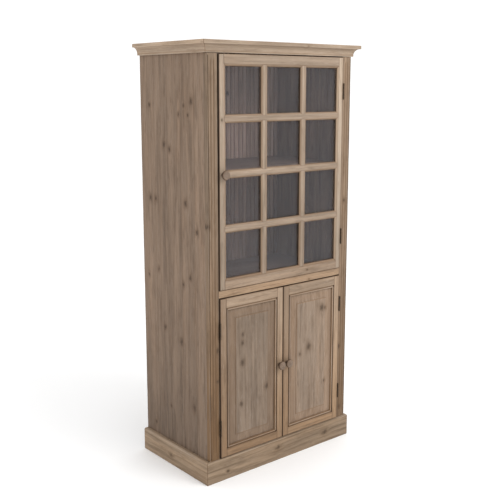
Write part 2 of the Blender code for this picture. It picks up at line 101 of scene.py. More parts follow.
class Graph:
    """A material's node tree."""

    def __init__(self, name):
        self.material = bpy.data.materials.new(name)
        self.material.use_nodes = True
        self.tree = self.material.node_tree
        self.shader = self.tree.nodes["Principled BSDF"]
        self.output = self.tree.nodes["Material Output"]

    def feed(self, socket, value):
        if isinstance(value, bpy.types.NodeSocket):
            self.tree.links.new(value, socket)
        else:
            socket.default_value = value

    def add(self, kind, inputs=None, **settings):
        node = self.tree.nodes.new("ShaderNode" + kind)
        for key, value in settings.items():
            setattr(node, key, value)
        for key, value in (inputs or {}).items():
            self.feed(node.inputs[key], value)
        return node

    def math(self, operation, a, b=0.0):
        return self.add("Math", {0: a, 1: b}, operation=operation).outputs[0]

    def plus(self, a, b):
        return self.math("ADD", a, b)

    def minus(self, a, b):
        return self.math("SUBTRACT", a, b)

    def times(self, a, b):
        return self.math("MULTIPLY", a, b)

    def vector(self, operation, a, b=(0.0, 0.0, 0.0), c=(0.0, 0.0, 0.0)):
        node = self.add("VectorMath", {0: a, 1: b}, operation=operation)
        if operation == "MULTIPLY_ADD":
            self.feed(node.inputs[2], c)
        return node.outputs["Value" if operation == "LENGTH" else "Vector"]

    def combine(self, x, y, z):
        return self.add("CombineXYZ", {0: x, 1: y, 2: z}).outputs[0]

    def noise(self, where, stretch, detail=2.0, roughness=0.5):
        scaled = self.vector("MULTIPLY", where, stretch)
        inputs = {"Vector": scaled, "Scale": 1.0, "Detail": detail, "Roughness": roughness}
        return self.add("TexNoise", inputs).outputs[0]

    def between(self, value, low, high, to_low=0.0, to_high=1.0, smooth=True):
        kind = "SMOOTHSTEP" if smooth else "LINEAR"
        inputs = {0: value, 1: low, 2: high, 3: to_low, 4: to_high}
        return self.add("MapRange", inputs, interpolation_type=kind).outputs[0]

    def mix(self, share, a, b, blend="MIX"):
        node = self.add("Mix", {0: share}, data_type="RGBA", blend_type=blend)
        for socket, value in ((node.inputs[6], a), (node.inputs[7], b)):
            self.feed(socket, value if isinstance(value, bpy.types.NodeSocket) else (*value, 1.0))
        return node.outputs[2]

    def ramp(self, value, stops):
        node = self.add("ValToRGB", {0: value})
        points = node.color_ramp.elements
        while len(points) < len(stops):
            points.new(0.5)
        for point, (position, level) in zip(points, stops):
            point.position = position
            point.color = (level, level, level, 1.0)
        return node.outputs[0]

    def attribute(self, name):
        return self.add("Attribute", attribute_name=name).outputs["Fac"]

    def bump(self, height, strength, distance):
        inputs = {"Height": height, "Strength": strength, "Distance": distance}
        self.feed(self.shader.inputs["Normal"], self.add("Bump", inputs).outputs[0])

    def set(self, **values):
        for name, value in values.items():
            self.feed(self.shader.inputs[name.replace("_", " ")], value)


# Mean colour, share of chalky patina, strength of the growth rings
WOODS = {
    "side_wood": ((0.190, 0.131, 0.090), 0.30, 0.40),
    "face_wood": ((0.182, 0.127, 0.084), 0.25, 0.50),
    "crown_wood": ((0.345, 0.262, 0.190), 0.30, 0.80),
    "rail_wood": ((0.300, 0.202, 0.126), 0.20, 0.85),
    "plinth_wood": ((0.225, 0.160, 0.104), 0.30, 0.95),
    "door_wood": ((0.275, 0.207, 0.150), 0.35, 0.45),
    "lower_wood": ((0.228, 0.164, 0.112), 0.35, 0.45),
    "panel_wood": ((0.205, 0.150, 0.108), 0.50, 0.40),
    "inner_wood": ((0.210, 0.150, 0.112), 0.10, 0.40),
    "knob_wood": ((0.165, 0.118, 0.086), 0.30, 0.60),
}
SLOT_OF_WOOD = {
    "crown_wood": "face_wood",
    "rail_wood": "face_wood",
    "plinth_wood": "face_wood",
    "lower_wood": "door_wood",
}


def tinted(color, factor, warmth=0.0):
    """A colour made lighter or darker, and redder by warmth."""
    shifts = (1.0 + warmth, 1.0, 1.0 - warmth)
    return tuple(min(0.95, value * factor * shift) for value, shift in zip(color, shifts))


def wood(name, kind, axes, seed, knots=(), plank=None, tone=1.0, warmth=0.0, fade=None, stain_and_shade=(0.64, 0.24)):
    """Old waxed pine. axes names the object's axes across, through and along the grain.

    knots holds (across, along, radius) in metres; plank is (first edge, width) of glued boards;
    fade is (low height, its tone, high height, its tone), painted shade that darkens the wood towards the low
    height, and may add the warmth at the low height;
    stain is the tone and warmth of wood under light dirt and painted shade.
    """
    color, chalk_share, ring_strength = WOODS[kind]
    color = tinted(color, tone, warmth)
    chance = random.Random(seed)
    g = Graph(name)
    parts = g.add("SeparateXYZ", {0: g.add("TexCoord").outputs["Object"]}).outputs
    across, deep, along = (parts["xyz".index(letter)] for letter in axes)
    plain = g.combine(across, 0.0, along)
    from_pith = across
    board_tone = None
    seam = None
    if plank:
        first, width = plank
        shares = g.math("DIVIDE", g.minus(across, first), width)
        index = g.math("FLOOR", shares)
        which = {"W": g.plus(index, seed * 0.37)}
        own = g.add("TexWhiteNoise", which, noise_dimensions="1D").outputs[0]
        along = g.plus(along, g.times(index, 1.7))
        inside = g.minus(g.math("FRACT", shares), 0.5)
        shifted = g.plus(inside, g.times(g.minus(own, 0.5), 0.9))
        from_pith = g.times(shifted, width)
        spread = 0.08 if width > 0.05 else 0.18
        board_tone = g.between(own, 0.0, 1.0, 1.0 - spread, 1.0 + spread, smooth=False)
        seam = g.between(g.math("ABSOLUTE", inside), 0.5 - 0.0010 / width, 0.5, 0.0, 0.35)
    shift = [chance.uniform(2.0, 9.0) for _ in range(3)]
    where = g.vector("ADD", g.combine(across, deep, along), shift)

    # Scaled distance to the nearest knot
    nearest = None
    for knot_across, knot_along, radius in knots:
        scale = (1.0 / radius, 0.0, 0.72 / radius)
        centre = (-knot_across / radius, 0.0, -0.72 * knot_along / radius)
        distance = g.vector("LENGTH", g.vector("MULTIPLY_ADD", plain, scale, centre))
        nearest = distance if nearest is None else g.math("MINIMUM", nearest, distance)

    # Growth rings: distance from the pith, bent by slow noise and round the knots
    pith = chance.uniform(0.035, 0.09) * chance.choice((-1, 1))
    off_centre = g.plus(from_pith, chance.uniform(-0.03, 0.03))
    radius_here = g.vector("LENGTH", g.combine(off_centre, g.plus(deep, pith), 0.0))
    bend = g.times(g.minus(g.noise(where, (6.0, 6.0, 0.8), 3.0), 0.5), 0.020)
    ring = g.plus(radius_here, bend)
    if nearest is not None:
        hump = g.math("POWER", 2.718, g.times(g.times(nearest, nearest), -0.22))
        ring = g.plus(ring, g.times(hump, 0.0035))
    cycle = g.math("FRACT", g.math("DIVIDE", ring, chance.uniform(0.0046, 0.0062)))
    late = g.ramp(cycle, ((0.0, 0.0), (0.35, 0.10), (0.80, 1.0), (0.92, 0.85), (1.0, 0.0)))

    fibres = g.noise(where, (420.0, 420.0, 18.0), 3.0, 0.6)
    streaks = g.noise(where, (105.0, 105.0, 4.5), 4.0, 0.66)
    short = g.noise(g.vector("ADD", where, (7.1, 2.3, 4.9)), (95.0, 95.0, 13.0), 4.0, 0.66)
    bands = g.noise(where, (30.0, 30.0, 1.3), 3.0, 0.6)
    blotches = g.noise(where, (12.0, 12.0, 4.0), 3.0, 0.6)
    warm_patch = g.noise(g.vector("ADD", where, (3.3, 1.7, 5.1)), (15.0, 15.0, 1.9), 2.0)
    flecks = g.noise(where, (300.0, 300.0, 30.0), 3.0, 0.6)

    light = tinted(color, 1.10)
    dark = tinted(color, 0.62, 0.06)
    ring_share = g.between(streaks, 0.3, 0.7, 0.10, ring_strength + 0.25)
    base = g.mix(g.times(late, ring_share), light, dark)
    base = g.mix(g.between(warm_patch, 0.50, 0.72, 0.0, 0.26), base, tinted(color, 1.02, 0.16))
    base = g.mix(g.between(streaks, 0.50, 0.72, 0.0, 0.56), base, tinted(color, 0.52, 0.08))
    base = g.mix(g.between(streaks, 0.46, 0.28, 0.0, 0.42), base, tinted(color, 1.42, 0.02))
    wide = g.noise(g.vector("ADD", where, (1.9, 8.3, 6.1)), (34.0, 34.0, 6.0), 4.0, 0.66)
    base = g.mix(g.between(wide, 0.52, 0.70, 0.0, 0.52), base, tinted(color, 0.52, 0.07))
    patches = g.times(g.between(short, 0.50, 0.68), g.between(blotches, 0.42, 0.62))
    base = g.mix(g.times(patches, 0.62), base, tinted(color, 0.50, 0.10))
    base = g.mix(g.between(blotches, 0.50, 0.72, 0.0, 0.26), base, tinted(color, 0.70, 0.02))
    chalked = g.between(flecks, 0.50, 0.72)
    chalk = g.times(chalked, g.between(blotches, 0.62, 0.36, 0.15, chalk_share))
    pale = tuple(0.55 * value + 0.45 * sum(color) / 3 for value in color)
    base = g.mix(chalk, base, tinted(pale, 1.75, 0.02))
    level = g.plus(0.35, g.times(bands, 0.75))
    level = g.plus(level, g.times(fibres, 0.62))
    if board_tone is not None:
        level = g.times(level, board_tone)
    # Painted shade: fade darkens the wood towards the low height.
    if fade:
        bottom, bottom_tone, top, top_tone = fade[:4]
        level = g.times(level, g.between(parts[2], bottom, top, bottom_tone, top_tone))
    base = g.mix(1.0, base, g.combine(level, level, level), "MULTIPLY")
    if fade and len(fade) > 4:
        aged = g.between(parts[2], fade[0], fade[2], 1.0, 0.0)
        yellow = (1.0 + 0.25 * fade[4], 1.0 - 0.25 * fade[4], 1.0 - 0.90 * fade[4])
        base = g.mix(aged, base, g.mix(1.0, base, yellow, "MULTIPLY"))
    if seam is not None:
        base = g.mix(seam, base, tinted(color, 0.35))

    height = g.plus(g.times(fibres, 0.7), g.times(late, -0.35))
    height = g.plus(height, g.times(streaks, 0.5))
    if nearest is not None:
        ragged = g.minus(g.noise(where, (90.0, 90.0, 60.0), 4.0, 0.65), 0.5)
        edge = g.plus(nearest, g.times(ragged, 2.4))
        halo = g.between(edge, 0.8, 3.4, 0.40, 0.0)
        core = g.between(edge, 0.30, 1.70, 0.74, 0.0)
        heart = g.between(edge, 0.0, 0.75, 0.42, 0.0)
        base = g.mix(halo, base, tinted(color, 0.62, 0.12))
        rim = g.mix(g.math("PINGPONG", edge, 0.22), tinted(color, 0.28, 0.16), tinted(color, 0.62, 0.18))
        base = g.mix(core, base, rim)
        base = g.mix(heart, base, (0.030, 0.018, 0.012))
        height = g.minus(height, g.times(heart, 1.4))

    # Pale rubbed edges, which on the door beads' crests are also a painted highlight.
    wear_and_highlight = g.times(g.attribute("wear_and_highlight"), g.between(blotches, 0.62, 0.38, 0.15, 0.80))
    base = g.mix(wear_and_highlight, base, tinted(pale, 1.65, 0.02))
    # Dirt and painted shade: light levels turn to the stain colour, heavy ones to near black, which paints
    # the shade in gaps, quirks and rebates as well as dark joints.
    dirt_and_shade = g.times(g.attribute("dirt_and_shade"), g.between(bands, 0.25, 0.75, 1.0, 0.80))
    base = g.mix(g.between(dirt_and_shade, 0.0, 0.45, 0.0, 0.80, smooth=False), base, tinted(color, *stain_and_shade))
    base = g.mix(g.between(dirt_and_shade, 0.30, 1.0, 0.0, 1.0, smooth=False), base, (0.024, 0.014, 0.009))
    g.set(Base_Color=base, Roughness=g.between(fibres, 0.25, 0.75, 0.60, 0.82), Specular_IOR_Level=0.3)
    g.bump(height, 0.45, 0.0005)
    return g.material


def dark_iron(name, seed):
    """Antique brown-black iron with rubbed edges."""
    g = Graph(name)
    where = g.vector("ADD", g.add("TexCoord").outputs["Object"], (seed * 0.7, seed * 1.3, 0.0))
    cloud = g.noise(where, (90.0, 90.0, 90.0), 4.0, 0.6)
    grit = g.noise(where, (900.0, 900.0, 900.0), 2.0)
    base = g.mix(g.between(cloud, 0.4, 0.65), (0.030, 0.020, 0.013), (0.080, 0.048, 0.027))
    base = g.mix(g.times(g.attribute("wear_and_highlight"), 0.6), base, (0.20, 0.16, 0.12))
    g.set(Base_Color=base, Metallic=0.85, Roughness=g.between(cloud, 0.3, 0.7, 0.36, 0.58))
    g.bump(grit, 0.25, 0.0003)
    return g.material


def bright_steel(name):
    """Zinc-plated steel of screws and strike plates."""
    g = Graph(name)
    where = g.add("TexCoord").outputs["Object"]
    cloud = g.noise(where, (160.0, 160.0, 160.0), 3.0)
    brushed = g.noise(where, (1500.0, 90.0, 90.0), 2.0)
    base = g.mix(cloud, (0.24, 0.225, 0.20), (0.34, 0.32, 0.29))
    g.set(Base_Color=base, Metallic=1.0, Roughness=g.between(brushed, 0.3, 0.7, 0.25, 0.42))
    g.bump(brushed, 0.15, 0.0002)
    return g.material


def brown_plastic(name):
    """Moulded plastic with a faint orange-peel."""
    g = Graph(name)
    where = g.add("TexCoord").outputs["Object"]
    peel = g.noise(where, (1400.0, 1400.0, 1400.0), 2.0)
    cloud = g.noise(where, (70.0, 70.0, 70.0), 2.0)
    base = g.mix(cloud, (0.150, 0.095, 0.058), (0.190, 0.125, 0.080))
    g.set(Base_Color=base, Roughness=g.between(peel, 0.3, 0.7, 0.38, 0.50))
    g.bump(peel, 0.2, 0.0002)
    return g.material


def clear_glass(name):
    """Clear glass under a thin haze. The index is lower than real glass has, for a calm reflection."""
    g = Graph(name)
    tint = (0.92, 0.91, 0.95, 1.0)
    g.set(Base_Color=tint, Roughness=0.0, IOR=1.22, Transmission_Weight=0.983)
    clear = g.add("BsdfTransparent", {0: tint})
    shadow = g.add("LightPath").outputs["Is Shadow Ray"]
    mixed = g.add("MixShader", {0: shadow, 1: g.shader.outputs[0], 2: clear.outputs[0]})
    g.feed(g.output.inputs["Surface"], mixed.outputs[0])
    return g.material


# ---------------------------------------------------------------- meshes


class Profile:
    """A closed outline of (a, b) points with each point's wear, dirt and outward normal; the wear also
    carries a painted highlight and the dirt painted shade.

    corners holds (a, b, radius) and may add the dirt and painted shade and, at a sharp corner, the wear and
    painted highlight.
    """

    def __init__(self, corners, steps=3):
        if self.area(corners) < 0:
            corners = corners[::-1]
        points, wear_and_highlight, dirt_and_shade = [], [], []
        count = len(corners)
        for i, corner in enumerate(corners):
            here = np.array(corner[:2])
            radius = corner[2]
            shade_and_soil = corner[3] if len(corner) > 3 else 0.0
            before = np.array(corners[i - 1][:2]) - here
            after = np.array(corners[(i + 1) % count][:2]) - here
            sizes = np.linalg.norm(before), np.linalg.norm(after)
            before, after = before / sizes[0], after / sizes[1]
            turn = before[1] * after[0] - before[0] * after[1]
            if radius <= 0:
                points.append(here)
                wear_and_highlight.append(corner[4] if len(corner) > 4 else 0.0)
                dirt_and_shade.append(shade_and_soil)
                continue
            radius = min(radius, sizes[0] * 0.45, sizes[1] * 0.45)
            if sizes[0] > 2 * (radius + SUPPORT):
                points.append(here + before * (radius + SUPPORT))
                wear_and_highlight.append(0.0)
                dirt_and_shade.append(shade_and_soil * 0.3)
            for k in range(steps + 1):
                s = k / steps
                start, end = here + before * radius, here + after * radius
                points.append((1 - s) ** 2 * start + 2 * s * (1 - s) * here + s * s * end)
                rounded = 1.0 if 0 < k < steps else 0.35
                wear_and_highlight.append(rounded if turn > 0 else 0.0)
                # A rounded hollow corner darkens by itself: painted shade in the crease, with some real dark
                # wax.
                dirt_and_shade.append(max(shade_and_soil, rounded * 0.55 if turn < 0 else 0.0))
            if sizes[1] > 2 * (radius + SUPPORT):
                points.append(here + after * (radius + SUPPORT))
                wear_and_highlight.append(0.0)
                dirt_and_shade.append(shade_and_soil * 0.3)
        self.points = np.array(points)
        self.wear_and_highlight = np.array(wear_and_highlight)
        self.dirt_and_shade = np.array(dirt_and_shade)
        along = np.roll(self.points, -1, 0) - np.roll(self.points, 1, 0)
        lengths = np.maximum(np.linalg.norm(along, axis=1), 1e-9)
        self.normal = np.stack([along[:, 1], -along[:, 0]], 1) / lengths[:, None]

    @staticmethod
    def area(corners):
        pairs = zip(corners, [*corners[1:], corners[0]])
        return sum(p[0] * q[1] - q[0] * p[1] for p, q in pairs)


class Shells:
    """Closed shells that become one mesh."""

    def __init__(self):
        self.points, self.faces, self.wear_and_highlight, self.dirt_and_shade = [], [], [], []

    def loft(self, rings, wear_and_highlight, dirt_and_shade):
        """Rings of equal length, closed and capped; wear and dirt, with their painted highlight and painted
        shade, have one value a point.
        """
        rings = np.asarray(rings, float)
        count, size = rings.shape[:2]
        index = np.arange(count * size).reshape(count, size)
        near, far = index[:-1], index[1:]
        quads = np.stack([near, np.roll(near, -1, 1), np.roll(far, -1, 1), far], -1).reshape(-1, 4)
        faces = [*quads.tolist(), index[0][::-1].tolist(), index[-1].tolist()]
        flat = rings.reshape(-1, 3)
        middle = flat.mean(0)
        corner = flat[quads] - middle
        volume = np.einsum("ij,ij->i", corner[:, 0], np.cross(corner[:, 1], corner[:, 2])).sum()
        volume += np.einsum("ij,ij->i", corner[:, 0], np.cross(corner[:, 2], corner[:, 3])).sum()
        if volume < 0:
            faces = [face[::-1] for face in faces]
        start = len(self.points)
        self.points += flat.tolist()
        self.faces += [[start + i for i in face] for face in faces]
        self.wear_and_highlight += np.broadcast_to(wear_and_highlight, (count, size)).ravel().tolist()
        self.dirt_and_shade += np.broadcast_to(dirt_and_shade, (count, size)).ravel().tolist()

    def bar(
        self,
        profile,
        place,
        start,
        end,
        seed=0.0,
        ease=EASE * 0.7,
        chip=CHIP,
        joint=0.85,
        extra=(),
        shape=None,
    ):
        """A bar with one outline. start and end are numbers, or functions of (a, b) for a mitre.

        shape(a, b, t) may change the outline at t and returns the new a, b and the dirt and painted shade to
        add.
        joint is the dirt at both ends.
        extra holds more places along the bar that get a ring.
        """
        a, b = profile.points.T
        first = start(a, b) if callable(start) else np.full(len(a), float(start))
        last = end(a, b) if callable(end) else np.full(len(a), float(end))
        span = float(np.abs(last - first).max())
        shares = set(np.linspace(0.0, 1.0, max(2, round(span / RING_STEP)) + 1).tolist())
        shares |= {(t - first[0]) / (last[0] - first[0]) for t in extra}
        near_end = (max(ease, 0.0004), max(ease, 0.0004) + JOINT_GRIME)
        shares |= {place / span for place in near_end} | {1 - place / span for place in near_end}
        phase = a * 900.0 + b * 700.0 + seed * 3.1
        rings, dirt_and_shade_rings = [], []
        for share in sorted(shares):
            t = first + (last - first) * share
            from_end = min(share, 1 - share) * span
            shrink = ease if share in (0.0, 1.0) else 0.0
            grime = joint * max(0.0, 1 - from_end / near_end[1])
            waves = np.sin(t * 37.0 + phase) + np.sin(t * 91.0 + phase * 1.7) + np.sin(t * 211.0 - phase)
            nibble = profile.wear_and_highlight * chip * np.clip(0.25 + waves * 0.3, 0.0, 1.0)
            moved = profile.points - profile.normal * (shrink + nibble)[:, None]
            ring_a, ring_b = moved.T
            shade_and_soil = np.maximum(profile.dirt_and_shade, grime)
            if shape:
                ring_a, ring_b, added = shape(ring_a, ring_b, t)
                shade_and_soil = np.clip(shade_and_soil + added, 0.0, 1.0)
            rings.append(place(ring_a, ring_b, t))
            dirt_and_shade_rings.append(shade_and_soil)
        self.loft(rings, profile.wear_and_highlight, np.array(dirt_and_shade_rings))

    def turned(self, outline, centre, axis, segments=40, wear_and_highlight=0.0, dirt_and_shade=0.0):
        """A solid of revolution: outline holds (radius, distance along the axis)."""
        axis = Vector(axis).normalized()
        side = axis.orthogonal().normalized()
        up = axis.cross(side)
        rings = []
        for radius, distance in outline:
            turn = [2 * math.pi * i / segments for i in range(segments)]
            middle = Vector(centre) + axis * distance
            rings.append([middle + (side * math.cos(t) + up * math.sin(t)) * radius for t in turn])
        self.loft(rings, wear_and_highlight, dirt_and_shade)

    def screw(self, centre, facing, radius, turn=0.4):
        """A slotted screw head: a dished rim and two half moons with the slot between them."""
        facing = Vector(facing).normalized()
        side = facing.orthogonal().normalized()
        up = facing.cross(side)
        cut = side * math.cos(turn) + up * math.sin(turn)
        over = facing.cross(cut)
        self.turned([(radius, -0.0012), (radius, -0.0003), (radius * 0.9, 0.0)], centre, facing, 24)
        slot = radius * 0.13
        lean = math.asin(slot / (radius * 0.88))
        for sign in (-1, 1):
            steps = 10
            turns = [lean + (math.pi - 2 * lean) * i / steps for i in range(steps + 1)]
            levels = []
            for level, scale in ((-0.0002, 0.88), (0.0003, 0.86), (0.0005, 0.74)):
                ring = []
                for t in turns:
                    ahead = cut * (math.cos(t) * radius * scale)
                    across = over * (sign * max(slot, math.sin(t) * radius * scale))
                    ring.append(Vector(centre) + ahead + across + facing * level)
                levels.append(ring)
            self.loft(levels, 0.6, 0.0)

    def piece(self, name, material, body, nodes=(), slot=None, sharp=SHARP):
        """Makes the object, puts it on its body and hides the CAD nodes it is given."""
        mesh = bpy.data.meshes.new(name)
        mesh.from_pydata(self.points, [], self.faces)
        for word, values in (("wear_and_highlight", self.wear_and_highlight), ("dirt_and_shade", self.dirt_and_shade)):
            mesh.attributes.new(word, "FLOAT", "POINT").data.foreach_set("value", values)
        shape = bmesh.new()
        shape.from_mesh(mesh)
        bmesh.ops.remove_doubles(shape, verts=shape.verts, dist=1e-6)
        bmesh.ops.dissolve_degenerate(shape, edges=shape.edges, dist=1e-7)
        shape.to_mesh(mesh)
        shape.free()
        mesh.shade_smooth()
        mesh.set_sharp_from_angle(angle=sharp)
        mesh.materials.append(material)
        obj = bpy.data.objects.new(name, mesh)
        bpy.context.scene.collection.objects.link(obj)
        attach(obj, body)
        if nodes:
            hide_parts(*nodes)
        return obj


def placer(along):
    """Puts outline points (a, b) and a place t along an axis into the world."""
    order = {"x": (1, 2, 0), "y": (0, 2, 1), "z": (0, 1, 2)}[along]

    def place(a, b, t):
        out = np.empty((len(a), 3))
        for index, values in zip(order, (a, b, t)):
            out[:, index] = values
        return out

    return place


def corners_of_box(low, high, radius):
    outline = (low[0], low[1]), (high[0], low[1]), (high[0], high[1]), (low[0], high[1])
    return [(*point, radius) for point in outline]


def knots_in(node, across, along, shares):
    """Knots given as shares of a node's box and a radius in metres."""
    low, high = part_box(node)
    i, j = "xyz".index(across), "xyz".index(along)
    size = high - low
    return [(low[i] + u * size[i], low[j] + w * size[j], radius) for u, w, radius in shares]


def stray_knots(node, across, along, seed, count):
    """A few knots at places that follow from the seed."""
    chance = random.Random(seed * 7 + 1)
    ranges = (0.15, 0.85), (0.04, 0.96), (0.004, 0.008)
    shares = [tuple(chance.uniform(*limits) for limits in ranges) for _ in range(count)]
    return knots_in(node, across, along, shares)


def seamed_outline(low, high, seams, radius, depth=0.0005, width=0.0012):
    """A board's outline with a fine V at each glue line, on both faces."""
    corners = [(low[0], low[1], radius)]
    for face, order in ((low[1], 1), (high[1], -1)):
        inward = depth * order
        for seam in seams[::order]:
            near = width / 2 * order
            corners += [(seam - near, face, 0.0), (seam, face + inward, 0.0, 0.7), (seam + near, face, 0.0)]
        if order == 1:
            corners += [(high[0], low[1], radius), (high[0], high[1], radius)]
    corners.append((low[0], high[1], radius))
    return corners


# ---------------------------------------------------------------- carcass

SIDE_KNOTS = (
    (0.15, 0.87, 0.0075), (0.81, 0.88, 0.0105), (0.70, 0.87, 0.0060), (0.62, 0.85, 0.0060),
    (0.76, 0.85, 0.0055), (0.38, 0.78, 0.0085), (0.47, 0.77, 0.0070), (0.14, 0.65, 0.0080),
    (0.23, 0.65, 0.0075), (0.71, 0.65, 0.0080), (0.88, 0.59, 0.0080), (0.26, 0.48, 0.0065),
    (0.09, 0.46, 0.0055), (0.77, 0.48, 0.0080), (0.66, 0.46, 0.0065), (0.35, 0.34, 0.0085),
    (0.62, 0.32, 0.0115), (0.43, 0.145, 0.0060), (0.81, 0.17, 0.0095), (0.16, 0.083, 0.0070),
)  # share of the depth from the back, share of the height, radius


def side_panels():
    """Upright planks glued edge to edge."""
    for seed, side in ((11, "left"), (12, "right")):
        node = f"side_panel_{side}"
        low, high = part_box(node)
        seams = np.arange(low.y + PLANK * 0.7, high.y - PLANK * 0.3, PLANK)
        outline = Profile(seamed_outline((low.y, low.x), (high.y, high.x), seams, EASE))
        shells = Shells()
        shells.bar(outline, lambda a, b, t: np.stack([b, a, t], 1), low.z, high.z, seed)
        shares = [(1 - u, w, r) for u, w, r in SIDE_KNOTS]
        if side == "right":
            shares = [(u * 0.93 + 0.03, 1 - w, r) for u, w, r in SIDE_KNOTS[::2]]
        knots = knots_in(node, "y", "z", shares)
        plank = (seams[0], PLANK)
        # fade: painted shade, the planks darker towards the floor.
        material = wood(f"{node}_pine", "side_wood", "yxz", seed, knots, plank, fade=(0.0, 0.68, 0.8, 1.03))
        shells.piece(f"{node}_timber", material, "carcass", [node], "side_wood")


def plain_boards():
    """Top, bottom, deck, shelves and the rails that are square in section."""
    boards = (
        ("top_board", "yzx", "inner_wood", 5, 1.2),
        ("bottom_board", "yzx", "inner_wood", 4, 0.95),
        # The deck and the upper shelf get low tones: painted shade inside the glazed cupboard.
        ("middle_deck", "yzx", "inner_wood", 4, 0.40),
        ("upper_shelf", "yzx", "inner_wood", 4, 0.62),
        ("lower_shelf", "yzx", "inner_wood", 4, 1.0),
        ("middle_rail", "zyx", "rail_wood", 1, 0.95),
        ("top_rail", "zyx", "inner_wood", 1, 1.0),
    )
    for seed, (node, axes, kind, knots, tone) in enumerate(boards, 21):
        low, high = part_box(node)
        wide = high.y - low.y > 2 * PLANK
        ends = (low.y, low.z), (high.y, high.z)
        seams = np.arange(low.y + PLANK, high.y - PLANK * 0.5, PLANK * 1.3) if wide else []
        outline = Profile(seamed_outline(*ends, seams, EASE) if wide else corners_of_box(*ends, EASE))
        shells = Shells()
        shells.bar(outline, placer("x"), low.x, high.x, seed)
        plank = (seams[0], PLANK * 1.3) if wide else None
        found = stray_knots(node, axes[0], axes[2], seed, knots)
        material = wood(f"{node}_pine", kind, axes, seed, found, plank, tone)
        slot = SLOT_OF_WOOD.get(kind, kind)
        shells.piece(f"{node}_timber", material, "carcass", [node], slot)


def back_panels():
    """Beaded boarding: a round bead and a groove at every board's edge."""
    pitch_wanted = 0.024
    bead = 0.0016
    depth = 0.0020
    for seed, node in ((31, "back_panel_upper"), (32, "back_panel_lower")):
        low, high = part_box(node)
        pitch = (high.x - low.x) / round((high.x - low.x) / pitch_wanted)
        corners = [(high.x, high.y, 0.0), (low.x, high.y, 0.0), (low.x, low.y, 0.0)]
        x = low.x + pitch
        while x < high.x - pitch / 2:
            corners += [(x - bead, low.y, 0.0), (x - bead / 2, low.y + depth, 0.0, 0.9)]
            for turn in range(1, 6):
                angle = math.pi * turn / 6
                drop = depth * (1 - math.sin(angle)) * 0.9
                corners.append((x + bead * (1 - math.cos(angle)) - bead * 0.3, low.y + drop, 0.0))
            corners += [(x + bead * 2, low.y + depth, 0.0, 0.9), (x + bead * 2.5, low.y, 0.0)]
            x += pitch
        corners.append((high.x, low.y, 0.0))
        shells = Shells()
        shells.bar(Profile(corners), placer("z"), low.z, high.z, seed, ease=0.0)
        knots = stray_knots(node, "x", "z", seed, 8)
        plank = (low.x, pitch)
        # fade: painted shade low down and painted light high up, for the cupboard's inside.
        fade = (0.85, 0.66, 1.40, 1.60)
        material = wood(f"{node}_pine", "inner_wood", "xyz", seed, knots, plank, fade=fade)
        shells.piece(f"{node}_timber", material, "carcass", [node], "inner_wood")


def back_nails():
    """Oval nail heads that hold the back boards to the deck, shelf, floor and top."""
    shells = Shells()
    low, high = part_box("back_panel_upper")
    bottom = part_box("back_panel_lower")[0]
    rows = (bottom.z + 0.008, low.z + 0.010, high.z - 0.010)
    for row in rows:
        for i in range(8):
            x = low.x + (high.x - low.x) * (i + 0.5) / 8
            outline = [(0.0022, -0.0016), (0.0022, -0.0007), (0.0016, -0.0003)]
            shells.turned(outline, (x, high.y, row), (0, 1, 0), 12, wear_and_highlight=0.3)
    shells.piece("back_nails", dark_iron("nail_iron", 5), "carcass", slot="dark_metal")


